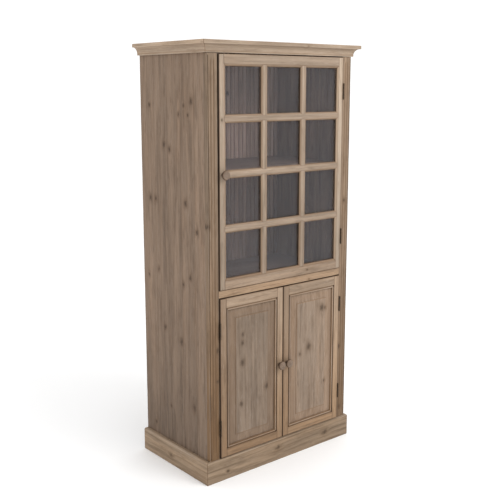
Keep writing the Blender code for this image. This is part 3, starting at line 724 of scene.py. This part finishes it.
def front_stiles():
    """Reeded stiles: two flutes that run out at their ends, and a quirk ending in a drilled dot."""
    flute_half = 0.0052
    flute_depth = 0.0030
    run_out = 0.024
    quirk_at = 0.0045
    quirk_half = 0.0017
    quirk_depth = 0.0022
    dot_radius = 0.0028
    for seed, side in ((41, "left"), (42, "right")):
        node = f"front_stile_{side}"
        low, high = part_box(node)
        sign = -1 if side == "left" else 1
        outer = low.x if side == "left" else high.x
        width = high.x - low.x
        stop_low, stop_high = low.z + 0.020, high.z - 0.010
        dot_z = low.z + 0.009
        quirk_top = high.z - 0.0087

        def relief(a, b, t):
            """How far the face is cut back at each outline point."""
            from_outer = (outer - a) * sign
            on_face = b < low.y + 0.0002 + 1e-4
            fade = np.clip((t - stop_low) / run_out, 0, 1) * np.clip((stop_high - t) / run_out, 0, 1)
            fade = fade * fade * (3 - 2 * fade)
            cut = np.zeros(len(a))
            for share in (0.36, 0.66):
                away = np.abs(from_outer - share * width) / flute_half
                cut = np.maximum(cut, np.where(away < 1, 0.5 + 0.5 * np.cos(math.pi * away), 0) * flute_depth)
            cut = cut * fade
            inside = (t > dot_z) & (t < quirk_top)
            near = np.clip((1 - np.abs(from_outer - quirk_at) / quirk_half) * 1.8, 0, 1)
            groove = near * quirk_depth * inside
            dot = np.hypot(from_outer - quirk_at, t - dot_z) < dot_radius
            groove = np.where(dot, quirk_depth * 1.2, groove)
            # Flute bottoms and the quirk with its dot are darkened: painted shade in the grooves.
            added = np.clip(cut / flute_depth, 0, 1) ** 2 * 0.44 + np.clip(groove / quirk_depth, 0, 1)
            return a, np.where(on_face, b + np.maximum(cut, groove), b), np.where(on_face, added, 0)

        fine = np.arange(0.0022, 0.0070, 0.0004)
        coarse = np.arange(0.0078, width - 0.0030, 0.0008)
        across = outer - sign * np.concatenate([fine, coarse])
        if side == "right":
            across = across[::-1]
        corners = [(low.x, low.y, 0.0016), *((x, low.y, 0.0) for x in across), (high.x, low.y, 0.0016)]
        corners += [(high.x, high.y, EASE / 2), (low.x, high.y, EASE / 2)]
        marks = [stop_low + run_out * i / 8 for i in range(9)]
        marks += [stop_high - run_out * i / 8 for i in range(9)]
        marks += [dot_z + dot_radius * i / 5 for i in range(-6, 7)] + [quirk_top - 0.0002, quirk_top + 0.0002]
        shells = Shells()
        shells.bar(Profile(corners), placer("z"), low.z, high.z, seed, extra=marks, shape=relief)
        places = {
            "left": ((0.90, 0.285, 0.0075), (0.86, 0.205, 0.0065), (0.06, 0.595, 0.0070)),
            "right": ((0.20, 0.21, 0.0070), (0.30, 0.03, 0.0080), (0.5, 0.62, 0.0060)),
        }[side]
        found = knots_in(node, "x", "z", places)
        # fade: painted shade darker towards the floor, and a warmer, yellower foot.
        fade = {"left": (0.1, 0.72, 1.1, 1.05, 0.40), "right": (0.1, 0.76, 1.1, 1.20, 0.20)}[side]
        material = wood(f"{node}_pine", "face_wood", "xyz", seed, found, fade=fade)
        shells.piece(f"{node}_timber", material, "carcass", [node], "face_wood")


def surround(word, corners, out, kind, knots, tones):
    """Front, left and right bars of one moulding, mitred at the front corners."""
    outline = Profile(corners)
    for seed, side in enumerate(("front", "left", "right"), 51 if word == "crown" else 55):
        node = f"{word}_{side}"
        low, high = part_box(node)
        shells = Shells()
        if side == "front":
            line, start, end = high.y, low.x + out, high.x - out
            shells.bar(
                outline,
                lambda a, b, t, line=line: np.stack([t, line - a, b], 1),
                lambda a, b, start=start: start - a,
                lambda a, b, end=end: end + a,
                seed,
                ease=0.0003,
            )
            axes = "zyx"
        else:
            line, sign = (high.x, -1) if side == "left" else (low.x, 1)
            start = low.y + out
            shells.bar(
                outline,
                lambda a, b, t, line=line, sign=sign: np.stack([line + sign * a, t, b], 1),
                lambda a, b, start=start: start - a,
                high.y,
                seed,
                ease=0.0003,
            )
            axes = "zxy"
        found = knots_in(node, axes[0], axes[2], knots.get(side, ()))
        material = wood(f"{node}_pine", kind, axes, seed, found, tone=tones[side])
        shells.piece(f"{node}_timber", material, "carcass", [node], "face_wood")


def crown():
    """Square top edge, cove, and a small fillet against the carcass."""
    low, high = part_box("crown_front")
    foot, foot_height = 0.011, 0.006
    lip = CROWN_OUT - 0.004
    cove_foot, cove_top = low.z + foot_height, high.z - 0.0155
    corners = [(0.0, low.z, 0.0), (foot, low.z, 0.0009), (foot, cove_foot, 0.0006)]
    # The cove darkens towards the lip, and the lip and the top edge are darkened as well: painted shade.
    steps = 12
    for i in range(1, steps + 1):
        angle = i / steps * math.pi / 2
        rise = (cove_top - cove_foot) * math.sin(angle)
        corners.append((lip - (lip - foot) * math.cos(angle), cove_foot + rise, 0.0, 0.12 * math.sin(angle)))
    corners += [(CROWN_OUT, cove_top, 0.0010, 0.12), (CROWN_OUT, high.z, 0.0022, 0.22), (0.0, high.z, 0.0)]
    knots = {"front": ((0.7, 0.63, 0.004),)}
    tones = {"front": 0.86, "left": 1.07, "right": 1.0}
    surround("crown", corners, CROWN_OUT, "crown_wood", knots, tones)


def plinth():
    """Plain boards with a bevelled top edge."""
    low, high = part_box("plinth_front")
    corners = [
        (0.0, low.z, 0.0),
        (PLINTH_OUT, low.z, 0.0015),
        (PLINTH_OUT, high.z - PLINTH_BEVEL, 0.0014),
        (PLINTH_OUT - PLINTH_BEVEL, high.z, 0.0010),
        (0.0, high.z, 0.0),
    ]
    knots = {
        "front": ((0.60, 0.47, 0.0085), (0.52, 0.82, 0.0105), (0.35, 0.13, 0.0055)),
        "left": ((0.45, 0.55, 0.0080),),
        "right": ((0.45, 0.35, 0.0080),),
    }
    surround("plinth", corners, PLINTH_OUT, "plinth_wood", knots, {"front": 0.92, "left": 1.12, "right": 1.0})


# ---------------------------------------------------------------- doors


def moulded_slope(start, end):
    """A slope that rounds over towards its low end: (place across, depth behind the door face)."""
    steps = 8
    curve = []
    for i in range(steps + 1):
        s = i / steps
        drop = 0.55 * s + 0.45 * (1 - math.sqrt(1 - s * s))
        curve.append((start + (end - start) * s, MOULD_TOP + (BAR_EDGE - MOULD_TOP) * drop))
    return curve


def glass_moulding():
    """The glazed door's moulding, from the flat's edge inward."""
    return moulded_slope(0.0008, GLASS_MOULD - 0.001)


def bar_curve():
    """Side of a glazing bar, outward from the bar's middle."""
    return moulded_slope(BAR_FLAT, BAR_HALF - 0.001)


def reach(curve, depth, full):
    """How far a moulding stands out at a depth behind the door face."""
    places, depths = zip(*curve)
    return np.where(depth > depths[-1] + 1e-5, full, np.interp(depth, depths, places))


def outer_edge(width, shade_and_soil):
    """A member's outer arris, dark with painted shade on its side in the gap behind it and where it turns to
    the face.
    """
    corners = [(-width, 0.0018, 0.0, shade_and_soil), (-width, 0.0, 0.0012, 0.95 * shade_and_soil)]
    return corners + [(0.0024 - width, 0.0, 0.0, 0.58 * shade_and_soil**2), (0.0044 - width, 0.0, 0.0)]


def glass_section(width, shade_and_soil):
    """A glazed door member: flat, fine step, moulding and rebate for the glass, with painted shade on the
    step, the slope, the rebate and the side in the gap.
    """
    corners = outer_edge(width, shade_and_soil)
    # The fine step, the moulding's slope (more towards the glass) and the rebate are darkened: painted shade.
    corners += [(-0.0012, 0.0, 0.0), (0.0, 0.0, 0.0006, 0.3), (0.0, MOULD_TOP, 0.0, 0.75)]
    for u, d in glass_moulding():
        share = u / GLASS_MOULD
        corners.append((u, d, 0.0, 0.18 + 0.20 * share + (0.35 if share > 0.8 else 0.0)))
    corners += [
        (GLASS_MOULD, BAR_EDGE, 0.0003, 0.5),
        (GLASS_MOULD, BAR_EDGE + 0.0008, 0.0, 1.0),
        (GLASS_MOULD, GLASS_AT, 0.0, 1.0),
        (0.0, GLASS_AT, 0.0, 0.8),
        (0.0, DOOR_THICK, EASE / 2),
        # The member's outer side, in the gap: painted shade.
        (-width, DOOR_THICK, EASE, 0.5),
        (-width, 0.0060, 0.0, 1.0),
    ]
    return corners


def panel_section(width, shade_and_soil):
    """A lower door member: flat, quirk, bead, groove for the panel, back lip; painted shade darkens the
    quirk, the bead's outer flank and the side in the gap.
    """
    corners = outer_edge(width, shade_and_soil)
    # Painted shade in the quirk and on the bead's outer flank, at least 0.6 strong.
    quirk = max(shade_and_soil, 0.6)
    corners += [(-0.0010, 0.0, 0.0), (0.0, 0.0, 0.0005, 0.4 * quirk)]
    corners += [(0.0002, 0.0010, 0.0, 0.8 * quirk), (0.0002, 0.0034, 0.0, 0.85 * quirk)]
    corners.append((PANEL_QUIRK - 0.0006, 0.0034, 0.0, 0.8 * quirk))
    steps = 10
    half = (PANEL_MOULD - PANEL_QUIRK) / 2
    for i in range(steps + 1):
        angle = math.pi * i / steps
        drop = 0.0032 - 0.0030 * math.sin(angle)
        stain_and_shade = 0.9 * quirk**2 if i < 4 else (0.38 if i > 6 else 0.0)
        # The crest is pale: rubbed wear and a painted highlight.
        rubbed_and_highlight = 0.9 * math.sin(angle) if 3 <= i <= 7 else 0.0
        corners.append((PANEL_QUIRK + half * (1 - math.cos(angle)), drop, 0.0, stain_and_shade, rubbed_and_highlight))
    corners += [
        (PANEL_MOULD, 0.0079, 0.0, 0.30),
        (0.0, 0.0080, 0.0),
        (0.0, 0.0140, 0.0),
        (0.010, 0.0140, 0.0),
        (0.010, 0.0215, 0.0008),
        (0.0, 0.0215, 0.0),
        (0.0, DOOR_THICK, 0.0),
        # The member's outer side, in the gap: painted shade.
        (-width, DOOR_THICK, EASE, 0.5),
        (-width, 0.0060, 0.0, 1.0),
    ]
    return corners


def door_frame(prefix, body, section, mould, kind, seed, looks, knots):
    """Two stiles at full height and two rails between them; the mouldings meet in mitres."""
    left, right = f"{prefix}_stile_left", f"{prefix}_stile_right"
    bottom, top = f"{prefix}_rail_bottom", f"{prefix}_rail_top"
    x0, x1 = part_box(left)[1].x - mould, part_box(right)[0].x + mould
    z0, z1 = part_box(bottom)[1].z - mould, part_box(top)[0].z + mould
    stile_low, stile_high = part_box(left)[0].z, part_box(left)[1].z
    widths = {
        left: x0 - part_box(left)[0].x,
        right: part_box(right)[1].x - x1,
        bottom: z0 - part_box(bottom)[0].z,
        top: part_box(top)[1].z - z1,
    }

    def mitred(a, b, t):
        """Holds the moulding inside the 45 degree lines at both ends of the opening."""
        room = np.maximum(0.0, np.minimum(t - z0, z1 - t) - GAP / 2)
        return np.where(a > 0, np.minimum(a, room), a), b, np.where(a > room, 0.85, 0.0)

    for offset, node in enumerate((left, right, bottom, top)):
        # Painted shade at the gaps and quirks: full on the stiles, weaker on the rails.
        outline = Profile(section(widths[node], 1.0 if node in (left, right) else 0.42))
        inward = sorted({round(a, 6) for a in outline.points[:, 0] if a > 0})
        shells = Shells()
        if node in (left, right):
            edge, sign = (x0, 1) if node == left else (x1, -1)
            marks = [z0 + GAP / 2 + a for a in [0.0, *inward]] + [z1 - GAP / 2 - a for a in [0.0, *inward]]
            shells.bar(
                outline,
                lambda a, b, t, edge=edge, sign=sign: np.stack([edge + sign * a, DOOR_Y + b, t], 1),
                stile_low,
                stile_high,
                seed + offset,
                extra=marks,
                shape=mitred,
            )
            axes = "xyz"
        else:
            edge, sign = (z0, 1) if node == bottom else (z1, -1)
            shells.bar(
                outline,
                lambda a, b, t, edge=edge, sign=sign: np.stack([t, DOOR_Y + b, edge + sign * a], 1),
                lambda a, b: x0 + GAP + np.maximum(a, 0.0),
                lambda a, b: x1 - GAP - np.maximum(a, 0.0),
                seed + offset,
                ease=0.0002,
            )
            axes = "zyx"
        found = knots_in(node, axes[0], axes[2], knots.get(node[len(prefix) + 1 :], ()))
        tone, warmth, fade = looks[offset]
        material = wood(f"{node}_pine", kind, axes, seed + offset, found, None, tone, warmth, fade)
        shells.piece(f"{node}_timber", material, body, [node], SLOT_OF_WOOD.get(kind, kind))
    return x0, x1, z0, z1


def glass_door():
    """The glazed door: its frame, bars, one pane behind all of them, and the beads."""
    body = "glass_door"
    knots = {"stile_left": ((0.4, 0.73, 0.004),), "rail_bottom": ((0.4, 0.72, 0.004),)}
    # fade: painted shade, darker towards the door's foot.
    fade = (0.85, 0.84, 1.4, 1.04)
    looks = ((0.95, -0.02, fade), (1.20, -0.04, fade), (0.80, 0.05, None), (0.87, 0.0, None))
    x0, x1, z0, z1 = door_frame("glass_door", body, glass_section, GLASS_MOULD, "door_wood", 61, looks, knots)
    glazing_bars(body, x0, x1, z0, z1, fade)
    low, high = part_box("glass_door_glass")
    shells = Shells()
    outline = Profile(corners_of_box((low.x, low.y), (high.x, high.y), 0.0003))
    shells.bar(outline, placer("z"), low.z, high.z, ease=0.0002, chip=0.0)
    shells.piece("glass_door_pane", clear_glass("clear_glass"), body, ["glass_door_glass"], "glass")
    glazing_beads(body)


def glazing_bars(body, x0, x1, z0, z1, fade):
    """Upright and level bars whose sloped sides meet in mitres at every crossing."""
    curve, frame_curve = bar_curve(), glass_moulding()
    shares = [(u - BAR_FLAT) / (BAR_HALF - BAR_FLAT) for u, _ in curve]
    # The bar's slopes darken towards the glass and the rebate behind is near black: painted shade.
    side = [(*point, 0.0, 0.20 + 0.22 * t + (0.35 if t > 0.8 else 0.0)) for point, t in zip(curve, shares)]
    side += [(BAR_HALF, BAR_EDGE, 0.0003, 0.5), (BAR_HALF, BAR_EDGE + 0.0008, 0.0, 1.0)]
    side += [(BAR_HALF, GLASS_AT, 0.0, 0.9), (BAR_HALF - 0.0012, GLASS_AT, 0.0)]
    front = [(-BAR_FLAT, 0.0006, 0.0004), (BAR_FLAT, 0.0006, 0.0004)]
    outline = Profile([*front, *side, *((-u, d, *rest) for u, d, *rest in side[::-1])])
    uprights = [sum(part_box(f"muntin_upright_{i}"), Vector()).x / 2 for i in (1, 2)]
    levels = [sum(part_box(f"muntin_level_{i}"), Vector()).z / 2 for i in (1, 2, 3)]

    def at_frame(edge, sign):
        return lambda a, b: edge + sign * reach(frame_curve, b, GLASS_MOULD)

    def at_bar(middle, sign):
        return lambda a, b: middle + sign * (reach(curve, b, BAR_HALF) + GAP / 3)

    for i, z in enumerate(levels, 1):
        shells = Shells()
        shells.bar(
            outline,
            lambda a, b, t, z=z: np.stack([t, DOOR_Y + b, z + a], 1),
            at_frame(x0, 1),
            at_frame(x1, -1),
            70 + i,
            ease=0.0,
            chip=CHIP / 2,
        )
        node = f"muntin_level_{i}"
        material = wood(f"{node}_pine", "door_wood", "zyx", 70 + i, tone=0.96 - 0.03 * (3 - i))
        shells.piece(f"{node}_timber", material, body, [node], "door_wood")
    starts = [at_frame(z0, 1), *(at_bar(z, 1) for z in levels)]
    ends = [*(at_bar(z, -1) for z in levels), at_frame(z1, -1)]
    for i, x in enumerate(uprights, 1):
        shells = Shells()
        for start, end in zip(starts, ends):
            shells.bar(
                outline,
                lambda a, b, t, x=x: np.stack([x + a, DOOR_Y + b, t], 1),
                start,
                end,
                75 + i,
                ease=0.0,
                chip=CHIP / 2,
            )
        node = f"muntin_upright_{i}"
        material = wood(f"{node}_pine", "door_wood", "xyz", 75 + i, tone=0.92, fade=fade)
        shells.piece(f"{node}_timber", material, body, [node], "door_wood")


def glazing_beads(body):
    """Quarter-round beads that hold the glass from behind."""
    for seed, side in enumerate(("left", "right", "bottom", "top"), 81):
        node = f"glazing_bead_{side}"
        low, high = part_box(node)
        upright = side in ("left", "right")
        lo_a, hi_a = (low.x, high.x) if upright else (low.z, high.z)
        at_frame = lo_a if side in ("left", "bottom") else hi_a
        inner = hi_a if at_frame == lo_a else lo_a
        reach_in = inner - at_frame
        corners = [(at_frame, low.y, 0.0), (inner, low.y, 0.0)]
        for i in range(7):
            angle = math.pi / 2 * i / 6
            inward = at_frame + reach_in * math.cos(angle)
            corners.append((inward, low.y + 0.001 + (high.y - low.y - 0.001) * math.sin(angle), 0.0))
        shells = Shells()
        if upright:
            place, start, end = placer("z"), low.z, high.z
        else:
            place, start, end = lambda a, b, t: np.stack([t, b, a], 1), low.x, high.x
        shells.bar(Profile(corners), place, start, end, seed, ease=0.0003)
        axes = "xyz" if upright else "zyx"
        material = wood(f"{node}_pine", "door_wood", axes, seed, tone=0.9)
        shells.piece(f"{node}_timber", material, body, [node], "door_wood")


def raised_panel(prefix, body, seed, knots, tone):
    """Tongue, a sunk bevel that sweeps up in a shallow cove, a step and the field."""
    node = f"{prefix}_panel"
    low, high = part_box(node)
    edge_in = 0.0005
    front, back = 0.0083, 0.0137
    bevel_start, bevel = PANEL_MOULD + 0.0013, 0.036
    field, step = 0.0025, 0.0018
    rings = [(edge_in, back, 0.0), (edge_in, front, 0.0)]
    rings += [(bevel_start - 0.0040, front, 0.3), (bevel_start, front, 0.20)]
    steps = 14
    rise = front - field - step
    for i in range(1, steps + 1):
        share = i / steps
        shade_and_soil = 0.13 + 0.08 * math.sin(math.pi * share) ** 2
        rings.append((bevel_start + bevel * share, front - rise * share**0.62, shade_and_soil))
    inner = bevel_start + bevel
    # Beside the step up to the field the wood darkens: a painted shadow line.
    rings += [(inner + 0.0002, field + 0.0016, 0.10), (inner + 0.0005, field + 0.0003, 0.15)]
    rings += [(inner + 0.0011, field, 0.48), (inner + 0.0028, field, 0.42), (inner + 0.0045, field, 0.0)]
    loops, dirt_and_shade = [], []
    for inset, depth, shade_and_soil in rings:
        left, right = low.x + inset - edge_in, high.x - inset + edge_in
        bottom, top = low.z + inset - edge_in, high.z - inset + edge_in
        y = DOOR_Y + depth
        loops.append([(left, y, bottom), (right, y, bottom), (right, y, top), (left, y, top)])
        dirt_and_shade.append([shade_and_soil] * 4)
    shells = Shells()
    shells.loft(loops, 0.0, np.array(dirt_and_shade))
    boards = low.x + 0.055, 0.083
    material = wood(f"{node}_pine", "panel_wood", "xyz", seed, knots, boards, tone, stain_and_shade=(0.88, 0.26))
    shells.piece(f"{node}_timber", material, body, [node], "panel_wood", sharp=math.radians(9))


def lower_doors():
    """The pair of panelled doors; knots are shares of the door's width and height."""
    on_left = (
        (0.35, 0.755, 0.0060),
        (0.345, 0.70, 0.0070),
        (0.345, 0.574, 0.0085),
        (0.74, 0.38, 0.0090),
        (0.325, 0.31, 0.0070),
    )
    on_right = (
        (0.69, 0.806, 0.0105),
        (0.755, 0.80, 0.0070),
        (0.455, 0.56, 0.0105),
        (0.30, 0.525, 0.0055),
        (0.75, 0.294, 0.0060),
    )
    tones = {"left_door": (0.77, 1.08, 0.84, 1.03), "right_door": (0.82, 1.18, 0.96, 1.05)}
    panel_tones = {"left_door": 0.82, "right_door": 1.03}
    for seed, prefix, places in ((91, "left_door", on_left), (101, "right_door", on_right)):
        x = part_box(f"{prefix}_stile_left")[0].x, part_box(f"{prefix}_stile_right")[1].x
        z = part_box(f"{prefix}_stile_left")[0].z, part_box(f"{prefix}_stile_left")[1].z
        knots = [(x[0] + u * (x[1] - x[0]), z[0] + w * (z[1] - z[0]), r) for u, w, r in places]
        # fade: painted shade, darker towards the floor, with a warmer foot.
        fade = (0.1, 0.95, 0.75, 1.05, 0.22)
        looks = [(tone, 0.04 if tone < 0.93 else 0.0, fade) for tone in tones[prefix]]
        door_frame(prefix, prefix, panel_section, PANEL_MOULD, "lower_wood", seed, looks, {})
        raised_panel(prefix, prefix, seed + 5, knots, panel_tones[prefix])


def smooth_line(points, steps=4):
    """More points on a Catmull-Rom curve through the given ones."""
    fine = []
    padded = [points[0], *points, points[-1]]
    for p0, p1, p2, p3 in zip(padded, padded[1:], padded[2:], padded[3:]):
        for i in range(steps):
            s = i / steps
            value = []
            for a, b, c, d in zip(p0, p1, p2, p3):
                cubic = 2 * b + (c - a) * s + (2 * a - 5 * b + 4 * c - d) * s * s
                value.append(0.5 * (cubic + (3 * b - a - 3 * c + d) * s**3))
            fine.append(tuple(value))
    return [*fine, points[-1]]


def knobs():
    """Turned knobs: a foot, a waist, a full round head with a shallow ring and a button."""
    outline = [
        (0.0085, 0.0003), (0.0085, 0.0012), (0.0072, 0.0024), (0.0064, 0.0055), (0.0066, 0.0088),
        (0.0085, 0.0112), (0.0132, 0.0133), (0.0171, 0.0159), (0.0189, 0.0192), (0.0186, 0.0222),
        (0.0165, 0.0248), (0.0128, 0.0262), (0.0112, 0.0265), (0.0103, 0.0261), (0.0072, 0.0274),
        (0.0040, 0.0281), (0.0031, 0.0280), (0.0026, 0.0286), (0.0012, 0.0289),
    ]  # radius, distance from the door face
    rows = [(f"{door}_knob", door) for door in ("glass_door", "left_door", "right_door")]
    for seed, (node, body) in enumerate(rows, 111):
        low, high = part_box(node)
        centre = ((low.x + high.x) / 2, DOOR_Y, (low.z + high.z) / 2)
        shells = Shells()
        line = smooth_line(outline)
        # The waist and the back of the head darken towards the door: painted shade.
        shade_and_soil = [[0.80 * max(0.0, min(1.0, (0.0258 - distance) / 0.0040))] for _, distance in line]
        shells.turned(line, centre, (0, -1, 0), 48, dirt_and_shade=np.array(shade_and_soil))
        material = wood(f"{node}_pine", "knob_wood", "xzy", seed)
        shells.piece(f"{node}_timber", material, body, [node], "knob_wood", sharp=math.radians(50))
        screw = Shells()
        screw.screw((centre[0], DOOR_Y + DOOR_THICK + 0.0006, centre[2]), (0, 1, 0), 0.0042, seed)
        screw.piece(f"{node}_screw", bright_steel(f"{node}_steel"), body, slot="dark_metal")


# ---------------------------------------------------------------- hardware


def hinge_leaf(shells, x_in, x_out, y0, y1, z0, z1, facing):
    """A thin plate with rounded corners and three screws sunk almost flush with it."""
    round_corner = 0.0018
    sunk = 0.0004
    outline = []
    for cy, cz, start in ((y1, z1, 0), (y0, z1, 1), (y0, z0, 2), (y1, z0, 3)):
        sy = -round_corner if cy == y1 else round_corner
        sz = -round_corner if cz == z1 else round_corner
        for k in range(5):
            angle = math.pi / 2 * (start + k / 4)
            along_y = cy + sy + round_corner * math.cos(angle)
            outline.append((along_y, cz + sz + round_corner * math.sin(angle)))
    rings = [[(x, y, z) for y, z in outline] for x in (x_in, x_out)]
    shells.loft(rings, 0.2, 0.0)
    for i in range(3):
        z = z0 + (z1 - z0) * (i + 0.5) / 3
        y = y0 + (y1 - y0) * (0.62 if i != 1 else 0.40)
        shells.screw((x_in + facing * sunk, y, z), (facing * -1, 0, 0), 0.0030, i * 0.9 + 0.3)


def hinges():
    """Butt hinges: two leaves, five knuckles shared between them, and the pin's two round tips."""
    knuckle = 0.003
    count = 5
    leaf = 0.001
    clear = 0.0002  # from a leaf to the middle of the hinge, and from a knuckle to the next one's end
    rows = [("glass_door", 1), ("left_door", -1), ("right_door", 1)]
    for seed, (door, side) in enumerate(rows, 121):
        for place in ("lower", "upper"):
            prefix = f"{door}_{place}_hinge"
            low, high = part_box(f"{prefix}_fixed_leaf")
            axis_y = low.y + knuckle
            axis_x = low.x + knuckle if side > 0 else high.x - knuckle
            pitch = (high.z - low.z) / count
            for part, body in (("fixed_leaf", "carcass"), ("door_leaf", door)):
                node = f"{prefix}_{part}"
                direction = side if part == "fixed_leaf" else -side
                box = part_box(node)
                shells = Shells()
                inner = axis_x + direction * clear
                outer = inner + direction * leaf
                start = axis_y + knuckle + 0.0006
                hinge_leaf(shells, inner, outer, start, box[1].y, low.z, high.z, direction)
                for i in range(count):
                    if (i % 2 == 0) != (part == "fixed_leaf"):
                        continue
                    z0, z1 = low.z + i * pitch + clear, low.z + (i + 1) * pitch - clear
                    outline = [(0.0022, 0.0), (knuckle - 0.0003, 0.0001), (knuckle, 0.0005)]
                    length = z1 - z0
                    outline += [(knuckle, length - 0.0005), (knuckle - 0.0003, length - 0.0001)]
                    outline.append((0.0022, length))
                    shells.turned(outline, (axis_x, axis_y, z0), (0, 0, 1), 24, wear_and_highlight=0.25)
                    near, far = sorted((inner, outer))
                    tongue = corners_of_box((near, axis_y + 0.0012), (far, start + 0.0006), 0.0)
                    shells.bar(Profile(tongue), placer("z"), z0 + 0.0003, z1 - 0.0003, ease=0.0, chip=0.0)
                if part == "fixed_leaf":
                    for tip, up in ((high.z, 1), (low.z, -1)):
                        ball = [(0.0016, -0.002), (0.0016, 0.0), (0.0022, 0.0004)]
                        ball += [(0.0022, 0.0012), (0.0012, 0.0020)]
                        shells.turned(ball, (axis_x, axis_y, tip - up * 0.0014), (0, 0, up), 16, wear_and_highlight=0.4)
                shells.piece(f"{node}_iron", dark_iron(f"{node}_iron", seed), body, [node], "dark_metal")


def catches():
    """Magnetic catches with their steel poles, and the strike plates on the door backs."""
    plastic = brown_plastic("catch_plastic")
    steel = bright_steel("catch_steel")
    strike_y = DOOR_Y + DOOR_THICK
    pole_half, strike_half = 0.011, 0.013
    strike_in, strike_tall = 0.0008, 0.012  # from the door's edge, and the plate's height
    targets = {
        "glass_door_catch": (("glass_door", 0.5),),
        "lower_doors_catch": (("left_door", 0.22), ("right_door", 0.78)),
    }
    for node, doors in targets.items():
        low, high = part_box(node)
        shells = Shells()
        outline = Profile(corners_of_box((low.y, low.z), (high.y, high.z), 0.0014), 4)
        shells.bar(outline, placer("x"), low.x, high.x, chip=0.0)
        middle = (low.y + high.y) / 2
        facing = 1 if node.startswith("glass") else -1
        at = high.z if facing > 0 else low.z
        shells.piece(f"{node}_body", plastic, "carcass", [node], "catch_plastic")
        metal = Shells()
        for share in (0.14, 0.86):
            x = low.x + share * (high.x - low.x)
            metal.screw((x, middle, at + facing * 0.0004), (0, 0, facing), 0.0028, share)
        for door, share in doors:
            x = low.x + share * (high.x - low.x)
            for z in (low.z + 0.0035, high.z - 0.0035):
                pole = corners_of_box((low.y - 0.0004, z - 0.0008), (low.y + 0.004, z + 0.0008), 0.0002)
                metal.bar(Profile(pole), placer("x"), x - pole_half, x + pole_half, ease=0.0002, chip=0.0)
            plate = Shells()
            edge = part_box(f"{door}_stile_left")[0 if facing > 0 else 1].z + facing * strike_in
            z_low, z_high = sorted((edge, edge + facing * strike_tall))
            reach_back = low.y - 0.0009
            base = Profile(corners_of_box((strike_y + 0.0001, z_low), (reach_back, z_high), 0.0006))
            plate.bar(base, placer("x"), x - strike_half, x + strike_half, chip=0.0)
            plate.piece(f"{door}_strike", bright_steel(f"{door}_strike_steel"), door, slot="dark_metal")
        metal.piece(f"{node}_poles", steel, "carcass", slot="dark_metal")


# ---------------------------------------------------------------- stage


def stage():
    """A pale floor, an even white surround and one large soft light from the front."""
    scene = bpy.context.scene
    scene.view_settings.view_transform = "Standard"
    g = Graph("pale_floor")
    where = g.add("TexCoord").outputs["Object"]
    cloud = g.noise(where, (1.5, 1.5, 1.5), 3.0)
    g.set(Base_Color=g.mix(cloud, (0.93, 0.93, 0.93), (0.96, 0.96, 0.96)), Roughness=0.85)
    g.bump(g.noise(where, (60.0, 60.0, 60.0), 2.0), 0.05, 0.001)
    half = 40.0
    mesh = bpy.data.meshes.new("floor")
    square = [(-half, -half, 0), (half, -half, 0), (half, half, 0), (-half, half, 0)]
    mesh.from_pydata(square, [], [(0, 1, 2, 3)])
    mesh.materials.append(g.material)
    floor = bpy.data.objects.new("floor", mesh)
    scene.collection.objects.link(floor)
    floor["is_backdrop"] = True

    world = bpy.data.worlds.new("surround")
    scene.world = world
    world.use_nodes = True
    world.node_tree.nodes["Background"].inputs[0].default_value = (1.0, 1.0, 1.0, 1.0)
    world.node_tree.nodes["Background"].inputs[1].default_value = 1.12

    light = bpy.data.lights.new("key", "AREA")
    light.shape = "DISK"
    light.size = 3.0
    light.energy = 110.0
    key = bpy.data.objects.new("key", light)
    azimuth, elevation, distance = math.radians(16), math.radians(38), 5.0
    away = Vector((math.sin(azimuth), -math.cos(azimuth), 0)) * math.cos(elevation)
    away.z = math.sin(elevation)
    key.location = Vector((0, 0, 0.9)) + away * distance
    key.rotation_euler = (-away).to_track_quat("-Z", "Y").to_euler()
    scene.collection.objects.link(key)

    camera = bpy.data.objects.new("camera", bpy.data.cameras.new("camera"))
    camera.data.lens = 59.2
    camera.data.sensor_width = 36.0
    camera.data.shift_y = -0.032
    camera.location = (-2.2947, -2.7626, 1.6259)
    tilt_down, heading = 10.188, -39.725  # degrees
    camera.rotation_euler = (math.radians(90 - tilt_down), 0.0, math.radians(heading))
    scene.collection.objects.link(camera)
    scene.camera = camera


side_panels()
plain_boards()
back_panels()
back_nails()
front_stiles()
crown()
plinth()
glass_door()
lower_doors()
knobs()
hinges()
catches()
stage()

bpy.context.view_layer.update()
boxes = {"cad": CAD_BOX, "visual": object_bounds()}
{name: [list(corner) for corner in box] for name, box in boxes.items()}
